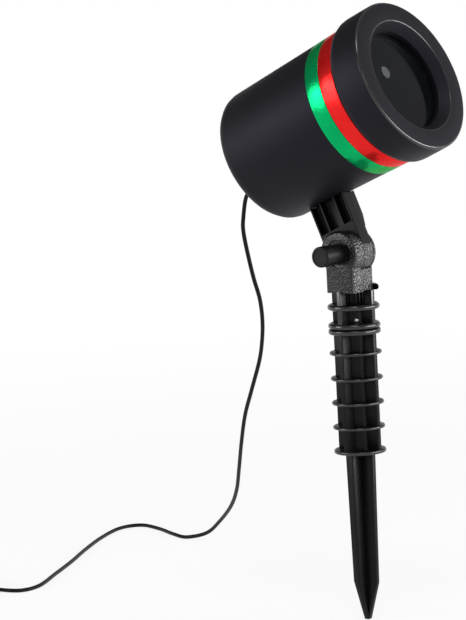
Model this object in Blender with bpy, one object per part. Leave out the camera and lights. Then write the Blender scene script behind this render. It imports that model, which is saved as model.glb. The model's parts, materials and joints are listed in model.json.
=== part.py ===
"""Outdoor laser light projector on a garden stake, with its supply cord.

Units are metres and +Z is up. The origin is the tip of the ground spike. The beam points towards -Y,
tilted up by HEAD_TILT, and the head turns on a screw that lies along X, with its knob on the -X side.
Pieces of the head are modelled in the head's own frame: its origin is the tilt pivot, its -Y is the
beam's direction and its Z runs up the mounting arm to the axis of the round housing.
"""

import math

import bmesh
import bpy
from mathutils import Matrix, Vector

# Driving dimensions of the head: distances along the beam from the foot of the arm, and heights
HEAD_TILT = math.radians(23.2)
PIVOT_HEIGHT = 0.235
AXIS_ABOVE_PIVOT = 0.0800
REAR_FACE = -0.0364
SHELL_FRONT = 0.0665
REAR_RADIUS = 0.0438
FRONT_RADIUS = 0.0460
REAR_ROUNDING = 0.0080
WALL = 0.0025
BAND_REAR = 0.0442
BAND_WIDTH = 0.0111
BAND_GROOVE = 0.0005
BEZEL_FACE = 0.0905
BEZEL_RADIUS = 0.0490
BEZEL_FRONT_EDGE = 0.0022
BEZEL_REAR_EDGE = 0.0055
RECESS_MOUTH_RADIUS = 0.0366
RECESS_THROAT_RADIUS = 0.0318
RECESS_THROAT = 0.0843
SPIGOT_REAR = 0.0580
SPIGOT_BORE = 0.0394
SEAL_GROOVE = (0.0614, 0.0642)
SEAL_SECTION = 0.00095
WINDOW_RADIUS = 0.0332
WINDOW_REAR = 0.0790
WINDOW_THICKNESS = 0.0022
MASK_REAR = 0.0728
MASK_THICKNESS = 0.0017
APERTURE_ABOVE_AXIS = 0.0095
APERTURE_RADIUS = 0.0043

# Fittings in the rear wall of the shell
GLAND_BELOW_AXIS = 0.0140
GLAND_NECK_RADIUS = 0.0032
GLAND_LENGTH = 0.0100
GLAND_NUT = 0.0030
BUTTON_ABOVE_AXIS = 0.0060
BUTTON_COLLAR_RADIUS = 0.0070
BUTTON_COLLAR_DEPTH = 0.0025
BUTTON_RADIUS = 0.0050
BUTTON_PROUD = 0.0040
BUTTON_STEM_RADIUS = 0.0018
BUTTON_STEM = 0.0080
BUTTON_TRAVEL = 0.0015
SENSOR_ABOVE_AXIS = 0.0260
SENSOR_RADIUS = 0.0030

# The optical bench and the driver board inside the head
BENCH_REAR = -0.0215
BENCH_THICKNESS = 0.0030
BENCH_FLANGE_RADIUS = 0.0345
BENCH_SCREW_CIRCLE = 0.0305
BENCH_SCREW_ANGLES = (math.radians(145), math.radians(35), math.radians(-90))
BENCH_SCREW_RADIUS = 0.0012
DECK_TOP = -0.0040
DECK_THICKNESS = 0.0040
DECK_FRONT = 0.0640
LASER_RADIUS = 0.0060
GREEN_REAR, GREEN_FRONT = -0.0060, 0.0360
COMBINER_ALONG = 0.0520
RED_BOTTOM, RED_TOP = -0.0270, -0.0042
BOARD_TOP = -0.0190
BOARD_THICKNESS = 0.0016
STANDOFFS = ((-0.0125, -0.0100), (0.0125, -0.0100), (-0.0125, 0.0340), (0.0125, 0.0340))

# Driving dimensions of the arm, the joint and the stake
ARM_WIDTH = 0.0284
ARM_THICKNESS = 0.0100
NECK_FAR = 0.0075
ARM_SLOTS = (-0.0090, 0.0, 0.0090)
SLOT_HALF = 0.0039
ARM_SCREW_ACROSS = 0.0027
ARM_SCREWS_ALONG = (-0.0094, 0.0094)
EAR_RADIUS = 0.0142
FORK_NEAR, FORK_FAR = -0.0138, 0.0082
NUT_BOSS = 0.0105
WASHER_SEAT = -0.0127
BOSS_RADIUS = 0.0090
SCREW_RADIUS = 0.0030
KNOB_RADIUS = 0.0062
KNOB_END = -0.0332
KNOB_BORE = 0.0125
WASHER_RADIUS = 0.0068
WASHER_THICKNESS = 0.0010
NUT_FLATS = 0.0100
NUT_POCKET = 0.0035
BLOCK_HALF_DEPTH = 0.0107
BLOCK_BOTTOM = 0.2104
FIN_RADIUS = 0.0154
FIN_THICKNESS = 0.0033
RING_RADIUS = 0.0165
TUBE_RADIUS = 0.0080
TENON_RADIUS = 0.0050
TENON_LENGTH = 0.0180
PIN_RADIUS = 0.0013
PIN_HEIGHT = 0.1926
STAKE_JOINT = 0.1870
UPPER_RINGS = (0.1889, 0.2008, 0.2125)
UPPER_RING_HALF = 0.0019
LOWER_RINGS = (0.1244, 0.1399, 0.1554, 0.1716)
LOWER_RING_HALF = 0.0009
JOINT_FLANGE_HALF = 0.0015
GROUND_FLANGE = 0.1079
GROUND_FLANGE_HALF = 0.0011
SPIKE_RADIUS = 0.0105
SPIKE_LOW_RADIUS = 0.0089
SPIKE_TIP_RADIUS = 0.0017
SPIKE_SHOULDER = 0.0240
SPIKE_TENON = 0.0080
SPIKE_TENON_LENGTH = 0.0160

# The supply cord and its stored coil
CORD_RADIUS = 0.0014
CORD_STEP = 0.0103
COIL_CENTRE = (-0.0700, 0.3100)
COIL_LOOPS = 16
COIL_LAYERS = 4
COIL_MEAN_RADIUS = 0.0210
COIL_PITCH = 0.0034
COIL_HEIGHT = 0.0018
COIL_START = math.radians(2)
COIL_TAIL = 0.0300
POINTS_PER_LOOP = 18
TIE_ANGLES = (math.radians(110), math.radians(290))
TIE_THICKNESS = 0.0010
TIE_CLEARANCE = 0.0006
TIE_WIDTH = 0.0040
CONNECTOR_RADIUS = 0.0065

# Sides of round pieces, from the largest to the smallest
HOUSING_SIDES = 40
STAKE_SIDES = 24
FITTING_SIDES = 18
SMALL_SIDES = 12
SCREW_SIDES = 8

GAP = 0.0003

# The cord's route: from behind the gland down to the ground, then along it to the stored coil
HANGING_ROUTE = (
    (0.000, 0.0760, 0.2742),
    (0.000, 0.0812, 0.2690),
    (0.001, 0.0850, 0.2560),
    (0.004, 0.0880, 0.2470),
    (0.011, 0.0910, 0.2320),
    (0.020, 0.0940, 0.2140),
    (0.028, 0.0960, 0.1990),
    (0.036, 0.1010, 0.1830),
    (0.043, 0.1080, 0.1670),
    (0.049, 0.1160, 0.1530),
    (0.057, 0.1300, 0.1320),
    (0.065, 0.1430, 0.1130),
    (0.077, 0.1570, 0.0910),
    (0.094, 0.1740, 0.0680),
    (0.109, 0.1890, 0.0500),
    (0.124, 0.2070, 0.0340),
    (0.140, 0.2310, 0.0180),
    (0.147, 0.2500, 0.0060),
    (0.145, 0.2680, 0.0016),
)
GROUND_ROUTE = (
    (0.150, 0.2850),
    (0.161, 0.3080),
    (0.166, 0.3300),
    (0.150, 0.3380),
    (0.117, 0.3280),
    (0.078, 0.3100),
    (0.043, 0.2920),
    (0.007, 0.2750),
    (-0.026, 0.2600),
    (-0.043, 0.2610),
    (-0.048, 0.2750),
    (-0.045, 0.2900),
)


def clear_scene():
    for obj in list(bpy.data.objects):
        bpy.data.objects.remove(obj)


def material(name, srgb_hex, roughness, metallic=0.0, alpha=1.0):
    """A Principled material with an sRGB colour written as hex."""
    made = bpy.data.materials.new(name)
    made.use_nodes = True
    shader = made.node_tree.nodes["Principled BSDF"]
    channels = [int(srgb_hex[i : i + 2], 16) / 255 for i in (0, 2, 4)]
    linear = [c / 12.92 if c <= 0.04045 else ((c + 0.055) / 1.055) ** 2.4 for c in channels]
    shader.inputs["Base Color"].default_value = (*linear, 1.0)
    shader.inputs["Roughness"].default_value = roughness
    shader.inputs["Metallic"].default_value = metallic
    shader.inputs["Alpha"].default_value = alpha
    return made


def new_object(name, bm, mat=None, parent=None, origin=(0.0, 0.0, 0.0)):
    """Makes the bmesh an object whose mesh is measured from origin, in the parent's frame."""
    bmesh.ops.remove_doubles(bm, verts=bm.verts, dist=1e-6)
    bmesh.ops.recalc_face_normals(bm, faces=bm.faces)
    bmesh.ops.translate(bm, verts=bm.verts, vec=-Vector(origin))
    mesh = bpy.data.meshes.new(name)
    bm.to_mesh(mesh)
    bm.free()
    mesh.shade_smooth()
    mesh.set_sharp_from_angle(angle=math.radians(32))
    obj = bpy.data.objects.new(name, mesh)
    obj.parent = parent
    obj.location = origin
    if mat is not None:
        mesh.materials.append(mat)
    bpy.context.scene.collection.objects.link(obj)
    return obj


def shape_with(obj, bm, operation):
    """Cuts the bmesh from an object, or unites it with it, by a Boolean with a hidden helper."""
    helper = new_object(f"{obj.name}_{operation.lower()}_{len(obj.modifiers)}", bm, None, obj.parent)
    helper.hide_render = True
    helper.display_type = "WIRE"
    boolean = obj.modifiers.new(helper.name, "BOOLEAN")
    boolean.operation = operation
    boolean.solver = "EXACT"
    boolean.object = helper


def cut(obj, bm):
    shape_with(obj, bm, "DIFFERENCE")


def unite(obj, bm):
    shape_with(obj, bm, "UNION")


def turned(profile, sides):
    """A body turned round Z from points (radius, height), closed at the axis or back on itself."""
    bm = bmesh.new()
    verts = [bm.verts.new((radius, 0.0, height)) for radius, height in profile]
    edges = [bm.edges.new(pair) for pair in zip(verts, verts[1:])]
    if profile[0][0] > 0 or profile[-1][0] > 0:
        edges.append(bm.edges.new((verts[-1], verts[0])))
    bmesh.ops.spin(
        bm,
        geom=verts + edges,
        cent=(0, 0, 0),
        axis=(0, 0, 1),
        angle=2 * math.pi,
        steps=sides,
        use_merge=True,
    )
    bmesh.ops.remove_doubles(bm, verts=bm.verts, dist=1e-7)
    return bm


def arc(centre, radius, from_degrees, to_degrees, steps):
    """Points (radius, height) along an arc about centre, both ends included."""
    points = []
    for i in range(steps + 1):
        angle = math.radians(from_degrees + (to_degrees - from_degrees) * i / steps)
        points.append((centre[0] + radius * math.cos(angle), centre[1] + radius * math.sin(angle)))
    return points


def rod(start, end, radius, sides):
    """A cylinder between two points."""
    start, end = Vector(start), Vector(end)
    turn = Vector((0, 0, 1)).rotation_difference(end - start).to_matrix().to_4x4()
    bm = bmesh.new()
    bmesh.ops.create_cone(
        bm,
        cap_ends=True,
        segments=sides,
        radius1=radius,
        radius2=radius,
        depth=(end - start).length,
        matrix=Matrix.Translation((start + end) / 2) @ turn,
    )
    return bm


def box(corner, opposite, rounding=0.0, segments=2):
    """A box between two opposite corners, its edges rounded if asked."""
    corner, opposite = Vector(corner), Vector(opposite)
    size = opposite - corner
    bm = bmesh.new()
    bmesh.ops.create_cube(bm, size=1.0)
    bmesh.ops.scale(bm, vec=[abs(length) for length in size], verts=bm.verts)
    bmesh.ops.translate(bm, vec=(corner + opposite) / 2, verts=bm.verts)
    if rounding:
        bmesh.ops.bevel(
            bm,
            geom=bm.edges[:],
            offset=rounding,
            offset_type="OFFSET",
            segments=segments,
            profile=0.5,
            affect="EDGES",
            material=-1,
        )
    return bm


def slab(outline, near, far, chamfer):
    """A plate between two places along X, from an outline of (y, z) points, with chamfered rims."""
    bm = bmesh.new()
    face = bm.faces.new([bm.verts.new((near, y, z)) for y, z in outline])
    pushed = bmesh.ops.extrude_face_region(bm, geom=[face], use_keep_orig=True)
    moved = [item for item in pushed["geom"] if isinstance(item, bmesh.types.BMVert)]
    bmesh.ops.translate(bm, verts=moved, vec=(far - near, 0, 0))
    if chamfer:
        rims = [edge for edge in bm.edges if abs(edge.verts[0].co.x - edge.verts[1].co.x) < GAP]
        bmesh.ops.bevel(
            bm,
            geom=rims,
            offset=chamfer,
            offset_type="OFFSET",
            segments=1,
            profile=0.5,
            affect="EDGES",
            material=-1,
        )
    return bm


def together(parts):
    """One bmesh that holds the shapes of several."""
    whole = bmesh.new()
    for part in parts:
        mesh = bpy.data.meshes.new("shape")
        part.to_mesh(mesh)
        part.free()
        whole.from_mesh(mesh)
        bpy.data.meshes.remove(mesh)
    return whole


def in_head(across, along, up):
    """A point of the head: across is X, along is the way of the beam, up is from the housing's axis."""
    return Vector((across, -along, AXIS_ABOVE_PIVOT + up))


def along_beam(bm, across=0.0, up=0.0):
    """Lays a body made round Z along the beam, across and up from the housing's axis."""
    place = Matrix.Translation(in_head(across, 0, up)) @ Matrix.Rotation(math.pi / 2, 4, "X")
    bmesh.ops.transform(bm, matrix=place, verts=bm.verts)
    return bm


def standing(bm, across, along):
    """Stands a body made round Z up in the head, with its heights counted from the housing's axis."""
    bmesh.ops.translate(bm, verts=bm.verts, vec=in_head(across, along, 0))
    return bm


def beam_rod(rear, front, radius, sides, across=0.0, up=0.0):
    return rod(in_head(across, rear, up), in_head(across, front, up), radius, sides)


def upright_rod(bottom, top, radius, sides, across=0.0, along=0.0):
    return rod(in_head(across, along, bottom), in_head(across, along, top), radius, sides)


def disc(rear, front, radius):
    """The profile of a plain disc."""
    return [(0, rear), (radius, rear), (radius, front), (0, front)]


def shell_radius(along):
    """Outside radius of the drafted housing at a distance along the beam."""
    share = (along - REAR_FACE) / (SHELL_FRONT - REAR_FACE)
    return REAR_RADIUS + (FRONT_RADIUS - REAR_RADIUS) * share


def bench_screw_places():
    for angle in BENCH_SCREW_ANGLES:
        yield BENCH_SCREW_CIRCLE * math.cos(angle), BENCH_SCREW_CIRCLE * math.sin(angle)


def make_housing(head, black):
    """The housing shell: a drafted cup, closed at the rear, with a shallow groove for the bands."""
    inner_wall = REAR_FACE + WALL
    bore = REAR_RADIUS - WALL
    rounding = REAR_ROUNDING - WALL
    groove = BAND_REAR - GAP
    profile = [(0.0, REAR_FACE)]
    profile += arc((REAR_RADIUS - REAR_ROUNDING, REAR_FACE + REAR_ROUNDING), REAR_ROUNDING, -90, 0, 6)
    profile += [
        (shell_radius(groove), groove),
        (shell_radius(groove) - BAND_GROOVE, groove),
        (FRONT_RADIUS - BAND_GROOVE, SHELL_FRONT),
        (FRONT_RADIUS - WALL, SHELL_FRONT),
    ]
    profile += arc((bore - rounding, inner_wall + rounding), rounding, 0, -90, 3)
    profile += [(0.0, inner_wall)]
    shell = new_object("housing_shell", along_beam(turned(profile, HOUSING_SIDES)), black, head)

    bosses, holes = [], []
    boss_rear, boss_front = REAR_FACE + WALL / 2, BENCH_REAR - GAP
    for across, up in bench_screw_places():
        bosses.append(beam_rod(boss_rear, boss_front, 0.0034, SCREW_SIDES, across, up))
        hole_rear = inner_wall + 0.001
        holes.append(beam_rod(hole_rear, boss_front + 0.001, 0.0016, SCREW_SIDES, across, up))
    unite(shell, together(bosses))
    for up, radius in (
        (-GLAND_BELOW_AXIS, GLAND_NECK_RADIUS),
        (BUTTON_ABOVE_AXIS, BUTTON_COLLAR_RADIUS),
        (SENSOR_ABOVE_AXIS, SENSOR_RADIUS),
    ):
        holes.append(beam_rod(REAR_FACE - 0.01, inner_wall + 0.001, radius + GAP, FITTING_SIDES, up=up))
    for along in ARM_SCREWS_ALONG:
        outside, inside = -FRONT_RADIUS - 0.001, -REAR_RADIUS + WALL + 0.004
        holes.append(upright_rod(outside, inside, 0.0017, SCREW_SIDES, ARM_SCREW_ACROSS, along))
    cut(shell, together(holes))


def make_bands(head, green, red):
    """Two foil bands that lie in the shell's groove, green behind red."""
    proud = 0.00015
    for name, rear, foil in (("green_band", BAND_REAR, green), ("red_band", BAND_REAR + BAND_WIDTH, red)):
        front = rear + BAND_WIDTH - GAP
        profile = [
            (shell_radius(rear) - BAND_GROOVE + GAP, rear),
            (shell_radius(rear) + proud, rear),
            (shell_radius(front) + proud, front),
            (shell_radius(front) - BAND_GROOVE + GAP, front),
        ]
        new_object(name, along_beam(turned(profile, HOUSING_SIDES)), foil, head)


def make_bezel(head, black, rubber):
    """The front bezel with its conical recess, on a spigot that an O-ring seals in the shell."""
    spigot = shell_radius(SPIGOT_REAR) - WALL - 0.0005
    shoulder = SHELL_FRONT + GAP
    groove_rear, groove_front = SEAL_GROOVE
    groove_floor = spigot - 0.0019
    window_seat = WINDOW_RADIUS + GAP
    seat_rear = MASK_REAR + 0.0044
    seat_front = WINDOW_REAR + WINDOW_THICKNESS + GAP
    front_edge = (BEZEL_RADIUS - BEZEL_FRONT_EDGE, BEZEL_FACE - BEZEL_FRONT_EDGE)
    rear_edge = (BEZEL_RADIUS - BEZEL_REAR_EDGE, shoulder + BEZEL_REAR_EDGE)
    profile = [(RECESS_MOUTH_RADIUS, BEZEL_FACE)]
    profile += arc(front_edge, BEZEL_FRONT_EDGE, 90, 0, 3)
    profile += arc(rear_edge, BEZEL_REAR_EDGE, 0, -60, 3)
    profile += [
        (FRONT_RADIUS - 0.0002, shoulder),
        (spigot, shoulder),
        (spigot, groove_front),
        (groove_floor, groove_front),
        (groove_floor, groove_rear),
        (spigot, groove_rear),
        (spigot, SPIGOT_REAR),
        (SPIGOT_BORE, SPIGOT_REAR),
        (SPIGOT_BORE, seat_rear),
        (window_seat, seat_rear),
        (window_seat, seat_front),
        (RECESS_THROAT_RADIUS, seat_front),
        (RECESS_THROAT_RADIUS, RECESS_THROAT),
    ]
    new_object("front_bezel", along_beam(turned(profile, HOUSING_SIDES)), black, head)
    middle = (groove_floor + GAP + SEAL_SECTION, (groove_rear + groove_front) / 2)
    seal = turned(arc(middle, SEAL_SECTION, 0, 288, 4), HOUSING_SIDES)
    new_object("bezel_seal", along_beam(seal), rubber, head)


def make_window(head, glass, rubber, black, film):
    """The window behind the recess, its gasket, the black mask and the grating in its aperture."""
    window = disc(WINDOW_REAR, WINDOW_REAR + WINDOW_THICKNESS, WINDOW_RADIUS)
    new_object("front_window", along_beam(turned(window, HOUSING_SIDES)), glass, head)
    lip, rim = MASK_REAR + 0.0043, MASK_REAR + MASK_THICKNESS
    gasket = [(0.0296, lip + GAP), (0.0330, lip + GAP), (0.0330, WINDOW_REAR - GAP), (0.0296, WINDOW_REAR - GAP)]
    new_object("window_gasket", along_beam(turned(gasket, HOUSING_SIDES)), rubber, head)
    mask_radius = SPIGOT_BORE - 0.0004
    mask_profile = [
        (0, MASK_REAR),
        (mask_radius, MASK_REAR),
        (mask_radius, rim),
        (0.0325, rim),
        (0.0325, lip),
        (0.0300, lip),
        (0.0300, rim),
        (0, rim),
    ]
    mask = new_object("aperture_mask", along_beam(turned(mask_profile, HOUSING_SIDES)), black, head)
    rear = MASK_REAR - 0.001
    cut(mask, beam_rod(rear, rim + 0.001, APERTURE_RADIUS, FITTING_SIDES, up=APERTURE_ABOVE_AXIS))
    retainer = [
        (mask_radius - 0.0030, MASK_REAR - 0.0030),
        (mask_radius, MASK_REAR - 0.0030),
        (mask_radius, MASK_REAR - GAP),
        (mask_radius - 0.0030, MASK_REAR - GAP),
    ]
    new_object("mask_retainer", along_beam(turned(retainer, HOUSING_SIDES)), black, head)
    grating = turned(disc(MASK_REAR, MASK_REAR + 0.0012, APERTURE_RADIUS - GAP), FITTING_SIDES)
    new_object("diffraction_grating", along_beam(grating, up=APERTURE_ABOVE_AXIS), film, head)
    holder = [(0.0034, 0.0665), (0.0062, 0.0665), (0.0062, MASK_REAR - GAP), (0.0034, MASK_REAR - GAP)]
    new_object(
        "grating_holder",
        along_beam(turned(holder, FITTING_SIDES), up=APERTURE_ABOVE_AXIS),
        black,
        head,
    )


def make_bench(head, aluminium, steel):
    """The cast bench: a round flange on the shell's bosses, a deck, and a seat for each laser."""
    flange_front = BENCH_REAR + BENCH_THICKNESS
    flange = turned(disc(BENCH_REAR, flange_front, BENCH_FLANGE_RADIUS), STAKE_SIDES)
    bench = new_object("optical_bench", along_beam(flange), aluminium, head)
    deck_bottom = DECK_TOP - DECK_THICKNESS
    middle = (DECK_TOP + deck_bottom) / 2
    deck_rear = (BENCH_REAR + flange_front) / 2
    unite(bench, box(in_head(-0.016, DECK_FRONT, deck_bottom), in_head(0.016, deck_rear, DECK_TOP)))
    unite(bench, box(in_head(-0.0095, 0.0310, middle), in_head(0.0095, 0.0040, 0.0185)))
    unite(bench, upright_rod(-0.0190, middle, 0.0095, FITTING_SIDES, along=COMBINER_ALONG))
    bore = LASER_RADIUS + GAP
    before, beyond = BENCH_REAR - 0.001, flange_front + 0.001
    bores = [
        beam_rod(0.0030, 0.0320, bore, FITTING_SIDES, up=APERTURE_ABOVE_AXIS),
        upright_rod(-0.0200, DECK_TOP + 0.001, bore, FITTING_SIDES, along=COMBINER_ALONG),
        beam_rod(before, beyond, 0.0095, FITTING_SIDES, up=BUTTON_ABOVE_AXIS),
        beam_rod(before, beyond, 0.0045, SCREW_SIDES, up=SENSOR_ABOVE_AXIS),
        box(in_head(-0.0070, before, -0.0255), in_head(0.0070, beyond, -0.0090)),
    ]
    for across, up in bench_screw_places():
        bores.append(beam_rod(before, beyond, 0.0016, SCREW_SIDES, across, up))
    for across, along in STANDOFFS:
        bores.append(upright_rod(deck_bottom - 0.001, DECK_TOP + 0.001, 0.0014, SCREW_SIDES, across, along))
    cut(bench, together(bores))
    for number, (across, up) in enumerate(bench_screw_places(), 1):
        profile = [
            (0, BENCH_REAR - 0.0055),
            (0.0008, BENCH_REAR - 0.0055),
            (BENCH_SCREW_RADIUS, BENCH_REAR - 0.0045),
            (BENCH_SCREW_RADIUS, flange_front + GAP),
            (0.0024, flange_front + GAP),
            (0.0024, flange_front + 0.0013),
            (0.0015, flange_front + 0.0020),
            (0, flange_front + 0.0020),
        ]
        screw = along_beam(turned(profile, SCREW_SIDES), across, up)
        new_object(f"bench_screw_{number}", screw, steel, head)


def laser_barrel(rear, front):
    """A turned laser module: a barrel, a stepped nose and a shallow lens mouth."""
    nose = LASER_RADIUS - 0.0012
    profile = [
        (0, rear),
        (LASER_RADIUS - 0.0005, rear),
        (LASER_RADIUS, rear + 0.0005),
        (LASER_RADIUS, front - 0.0040),
        (nose, front - 0.0034),
        (nose, front),
        (0.0018, front),
        (0.0018, front - 0.0020),
        (0, front - 0.0020),
    ]
    return turned(profile, FITTING_SIDES)


def make_lasers(head, brass, black, glass):
    """A green module along the beam, a red one below it, and the combining mirror that joins them."""
    green = along_beam(laser_barrel(GREEN_REAR, GREEN_FRONT), up=APERTURE_ABOVE_AXIS)
    new_object("green_laser_module", green, brass, head)
    red = standing(laser_barrel(RED_BOTTOM, RED_TOP), 0, COMBINER_ALONG)
    new_object("red_laser_module", red, brass, head)

    rear, front = COMBINER_ALONG - 0.0085, COMBINER_ALONG + 0.0085
    base, top = DECK_TOP + GAP, DECK_TOP + 0.0023
    cheek_inside, cheek_outside = 0.0070, 0.0095
    mount = new_object(
        "mirror_mount",
        box(in_head(-cheek_outside, front, base), in_head(cheek_outside, rear, top)),
        black,
        head,
    )
    for side in (-1, 1):
        inner, outer = in_head(side * cheek_inside, front, base), in_head(side * cheek_outside, rear, 0.018)
        unite(mount, box(inner, outer))
    cut(mount, upright_rod(base - 0.001, top + 0.001, 0.0048, FITTING_SIDES, along=COMBINER_ALONG))
    mirror = box((-0.0067, -0.0100, -0.0006), (0.0067, 0.0100, 0.0006))
    middle = Matrix.Translation(in_head(0, COMBINER_ALONG, APERTURE_ABOVE_AXIS))
    bmesh.ops.transform(mirror, matrix=middle @ Matrix.Rotation(math.radians(-45), 4, "X"), verts=mirror.verts)
    new_object("combining_mirror", mirror, glass, head)


def make_driver(head, board_green, nylon, black, aluminium):
    """The driver board on four snap-in standoffs below the bench, and its largest components."""
    bottom = BOARD_TOP - BOARD_THICKNESS
    plate = box(in_head(-0.016, 0.0375, bottom), in_head(0.016, -0.0135, BOARD_TOP))
    board = new_object("driver_board", plate, board_green, head)
    holes = []
    for across, along in STANDOFFS:
        holes.append(upright_rod(bottom - 0.001, BOARD_TOP + 0.001, 0.0016, SCREW_SIDES, across, along))
    cut(board, together(holes))
    deck_bottom = DECK_TOP - DECK_THICKNESS
    for number, (across, along) in enumerate(STANDOFFS, 1):
        profile = [
            (0, bottom - 0.0016),
            (0.0020, bottom - GAP),
            (0.0012, bottom - GAP),
            (0.0012, BOARD_TOP + GAP),
            (0.0024, BOARD_TOP + GAP),
            (0.0024, deck_bottom - GAP),
            (0.0010, deck_bottom - GAP),
            (0.0010, DECK_TOP + 0.0010),
            (0, DECK_TOP + 0.0010),
        ]
        spacer = standing(turned(profile, SCREW_SIDES), across, along)
        new_object(f"board_standoff_{number}", spacer, nylon, head)
    under = bottom - GAP
    capacitor = upright_rod(under - 0.0090, under, 0.0040, SMALL_SIDES, -0.0070, 0.0230)
    new_object("driver_capacitor", capacitor, aluminium, head)
    inductor = upright_rod(under - 0.0050, under, 0.0050, SMALL_SIDES, 0.0070, 0.0230)
    new_object("driver_inductor", inductor, black, head)
    chip = box(in_head(-0.0030, 0.0110, under - 0.0017), in_head(0.0030, 0.0060, under))
    new_object("driver_chip", chip, black, head)
    terminal = box(in_head(-0.0060, -0.0055, under - 0.0060), in_head(0.0060, -0.0120, under))
    new_object("cord_terminal", terminal, nylon, head)


def make_gland(head, rubber):
    """The strain relief that the cord leaves by, clamped through the rear wall."""
    outside, inner_wall = REAR_FACE - GAP, REAR_FACE + WALL + GAP
    tip = REAR_FACE - GLAND_LENGTH
    profile = [
        (0, tip),
        (CORD_RADIUS + 0.0006, tip),
        (CORD_RADIUS + 0.0011, tip + 0.0006),
        (0.0038, outside - 0.0022),
        (0.0050, outside - 0.0016),
        (0.0050, outside),
        (GLAND_NECK_RADIUS, outside),
        (GLAND_NECK_RADIUS, inner_wall),
        (0.0042, inner_wall),
        (0.0042, inner_wall + GLAND_NUT),
        (0, inner_wall + GLAND_NUT),
    ]
    gland = along_beam(turned(profile, FITTING_SIDES), up=-GLAND_BELOW_AXIS)
    new_object("cord_gland", gland, rubber, head)


def make_button(head, black, red):
    """The sprung power button, the collar that guides it and the switch fixed behind the collar."""
    outside, inner_wall = REAR_FACE - GAP, REAR_FACE + WALL
    collar_front = inner_wall + BUTTON_COLLAR_DEPTH
    bore, rim = BUTTON_RADIUS + GAP, BUTTON_COLLAR_RADIUS + 0.0018
    collar = [
        (bore, outside - 0.0016),
        (rim - 0.0004, outside - 0.0016),
        (rim, outside - 0.0010),
        (rim, outside),
        (BUTTON_COLLAR_RADIUS, outside),
        (BUTTON_COLLAR_RADIUS, collar_front),
        (bore, collar_front),
    ]
    collar_body = along_beam(turned(collar, FITTING_SIDES), up=BUTTON_ABOVE_AXIS)
    new_object("button_collar", collar_body, black, head)

    cap_rear = outside - BUTTON_PROUD
    cap_front = collar_front - BUTTON_TRAVEL
    button = [
        (0, cap_rear),
        (BUTTON_RADIUS - 0.0012, cap_rear),
        (BUTTON_RADIUS - 0.0003, cap_rear + 0.0005),
        (BUTTON_RADIUS, cap_rear + 0.0014),
        (BUTTON_RADIUS, cap_front),
        (BUTTON_STEM_RADIUS, cap_front),
        (BUTTON_STEM_RADIUS, inner_wall + BUTTON_STEM),
        (0, inner_wall + BUTTON_STEM),
    ]
    button_body = along_beam(turned(button, FITTING_SIDES), up=BUTTON_ABOVE_AXIS)
    new_object("power_button", button_body, red, head, in_head(0, REAR_FACE, BUTTON_ABOVE_AXIS))

    half, switch_rear = 0.0060, collar_front + GAP
    switch = new_object(
        "button_switch",
        box(
            in_head(-half, switch_rear + 0.0110, BUTTON_ABOVE_AXIS - half),
            in_head(half, switch_rear, BUTTON_ABOVE_AXIS + half),
            0.0006,
            1,
        ),
        black,
        head,
    )
    hole_end = inner_wall + BUTTON_STEM + BUTTON_TRAVEL + 0.0006
    stem_hole = beam_rod(
        switch_rear - 0.001,
        hole_end,
        BUTTON_STEM_RADIUS + 0.0004,
        SMALL_SIDES,
        up=BUTTON_ABOVE_AXIS,
    )
    cut(switch, stem_hole)


def make_sensor(head, glass, black):
    """The dusk sensor: a small domed lens in the rear wall with the cell behind it."""
    outside, inner_wall = REAR_FACE - GAP, REAR_FACE + WALL
    lens_front = inner_wall + 0.0010
    profile = [
        (0, outside - 0.0014),
        (0.0016, outside - 0.0012),
        (0.0030, outside - 0.0005),
        (SENSOR_RADIUS + 0.0012, outside),
        (SENSOR_RADIUS, outside),
        (SENSOR_RADIUS, lens_front),
        (0, lens_front),
    ]
    lens = along_beam(turned(profile, FITTING_SIDES), up=SENSOR_ABOVE_AXIS)
    new_object("sensor_lens", lens, glass, head)
    cell = turned(disc(lens_front + GAP, lens_front + 0.0030, 0.0026), SMALL_SIDES)
    new_object("light_sensor", along_beam(cell, up=SENSOR_ABOVE_AXIS), black, head)


def make_wires(head, black, red):
    """The wires inside the head, each a thin tube from one terminal to the next."""
    under = BOARD_TOP - BOARD_THICKNESS - GAP
    terminal_face = -0.0120 - GAP
    routes = {
        "supply_wires": (
            black,
            0.0010,
            (
                (0.0000, REAR_FACE + WALL + GLAND_NUT + 2 * GAP, -GLAND_BELOW_AXIS),
                (0.0004, -0.0270, -0.0143),
                (0.0015, -0.0220, -0.0170),
                (0.0022, -0.0170, -0.0215),
                (0.0022, terminal_face, -0.0235),
            ),
        ),
        "green_laser_wires": (
            black,
            0.0007,
            (
                (0.0000, GREEN_REAR - GAP, APERTURE_ABOVE_AXIS),
                (0.0015, -0.0105, 0.0092),
                (0.0090, -0.0125, 0.0060),
                (0.0170, -0.0095, 0.0000),
                (0.0190, -0.0060, -0.0090),
                (0.0188, -0.0020, -0.0185),
                (0.0145, 0.0015, -0.0236),
                (0.0085, 0.0025, -0.0236),
                (0.0060, 0.0028, under),
            ),
        ),
        "red_laser_wires": (
            red,
            0.0007,
            (
                (0.0000, COMBINER_ALONG, RED_BOTTOM - GAP),
                (0.0000, 0.0505, -0.0295),
                (0.0000, 0.0460, -0.0302),
                (0.0000, 0.0390, -0.0275),
                (0.0000, 0.0325, -0.0243),
                (0.0000, 0.0300, under),
            ),
        ),
        "switch_wires": (
            red,
            0.0007,
            (
                (-0.0030, -0.0260, BUTTON_ABOVE_AXIS - 0.0060 - GAP),
                (-0.0030, -0.0258, -0.0050),
                (-0.0030, -0.0240, -0.0110),
                (-0.0032, -0.0200, -0.0165),
                (-0.0038, -0.0160, -0.0215),
                (-0.0040, terminal_face, -0.0235),
            ),
        ),
    }
    for name, (insulation, radius, points) in routes.items():
        tube(name, [in_head(*point) for point in points], radius, insulation, head, 1)


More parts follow.
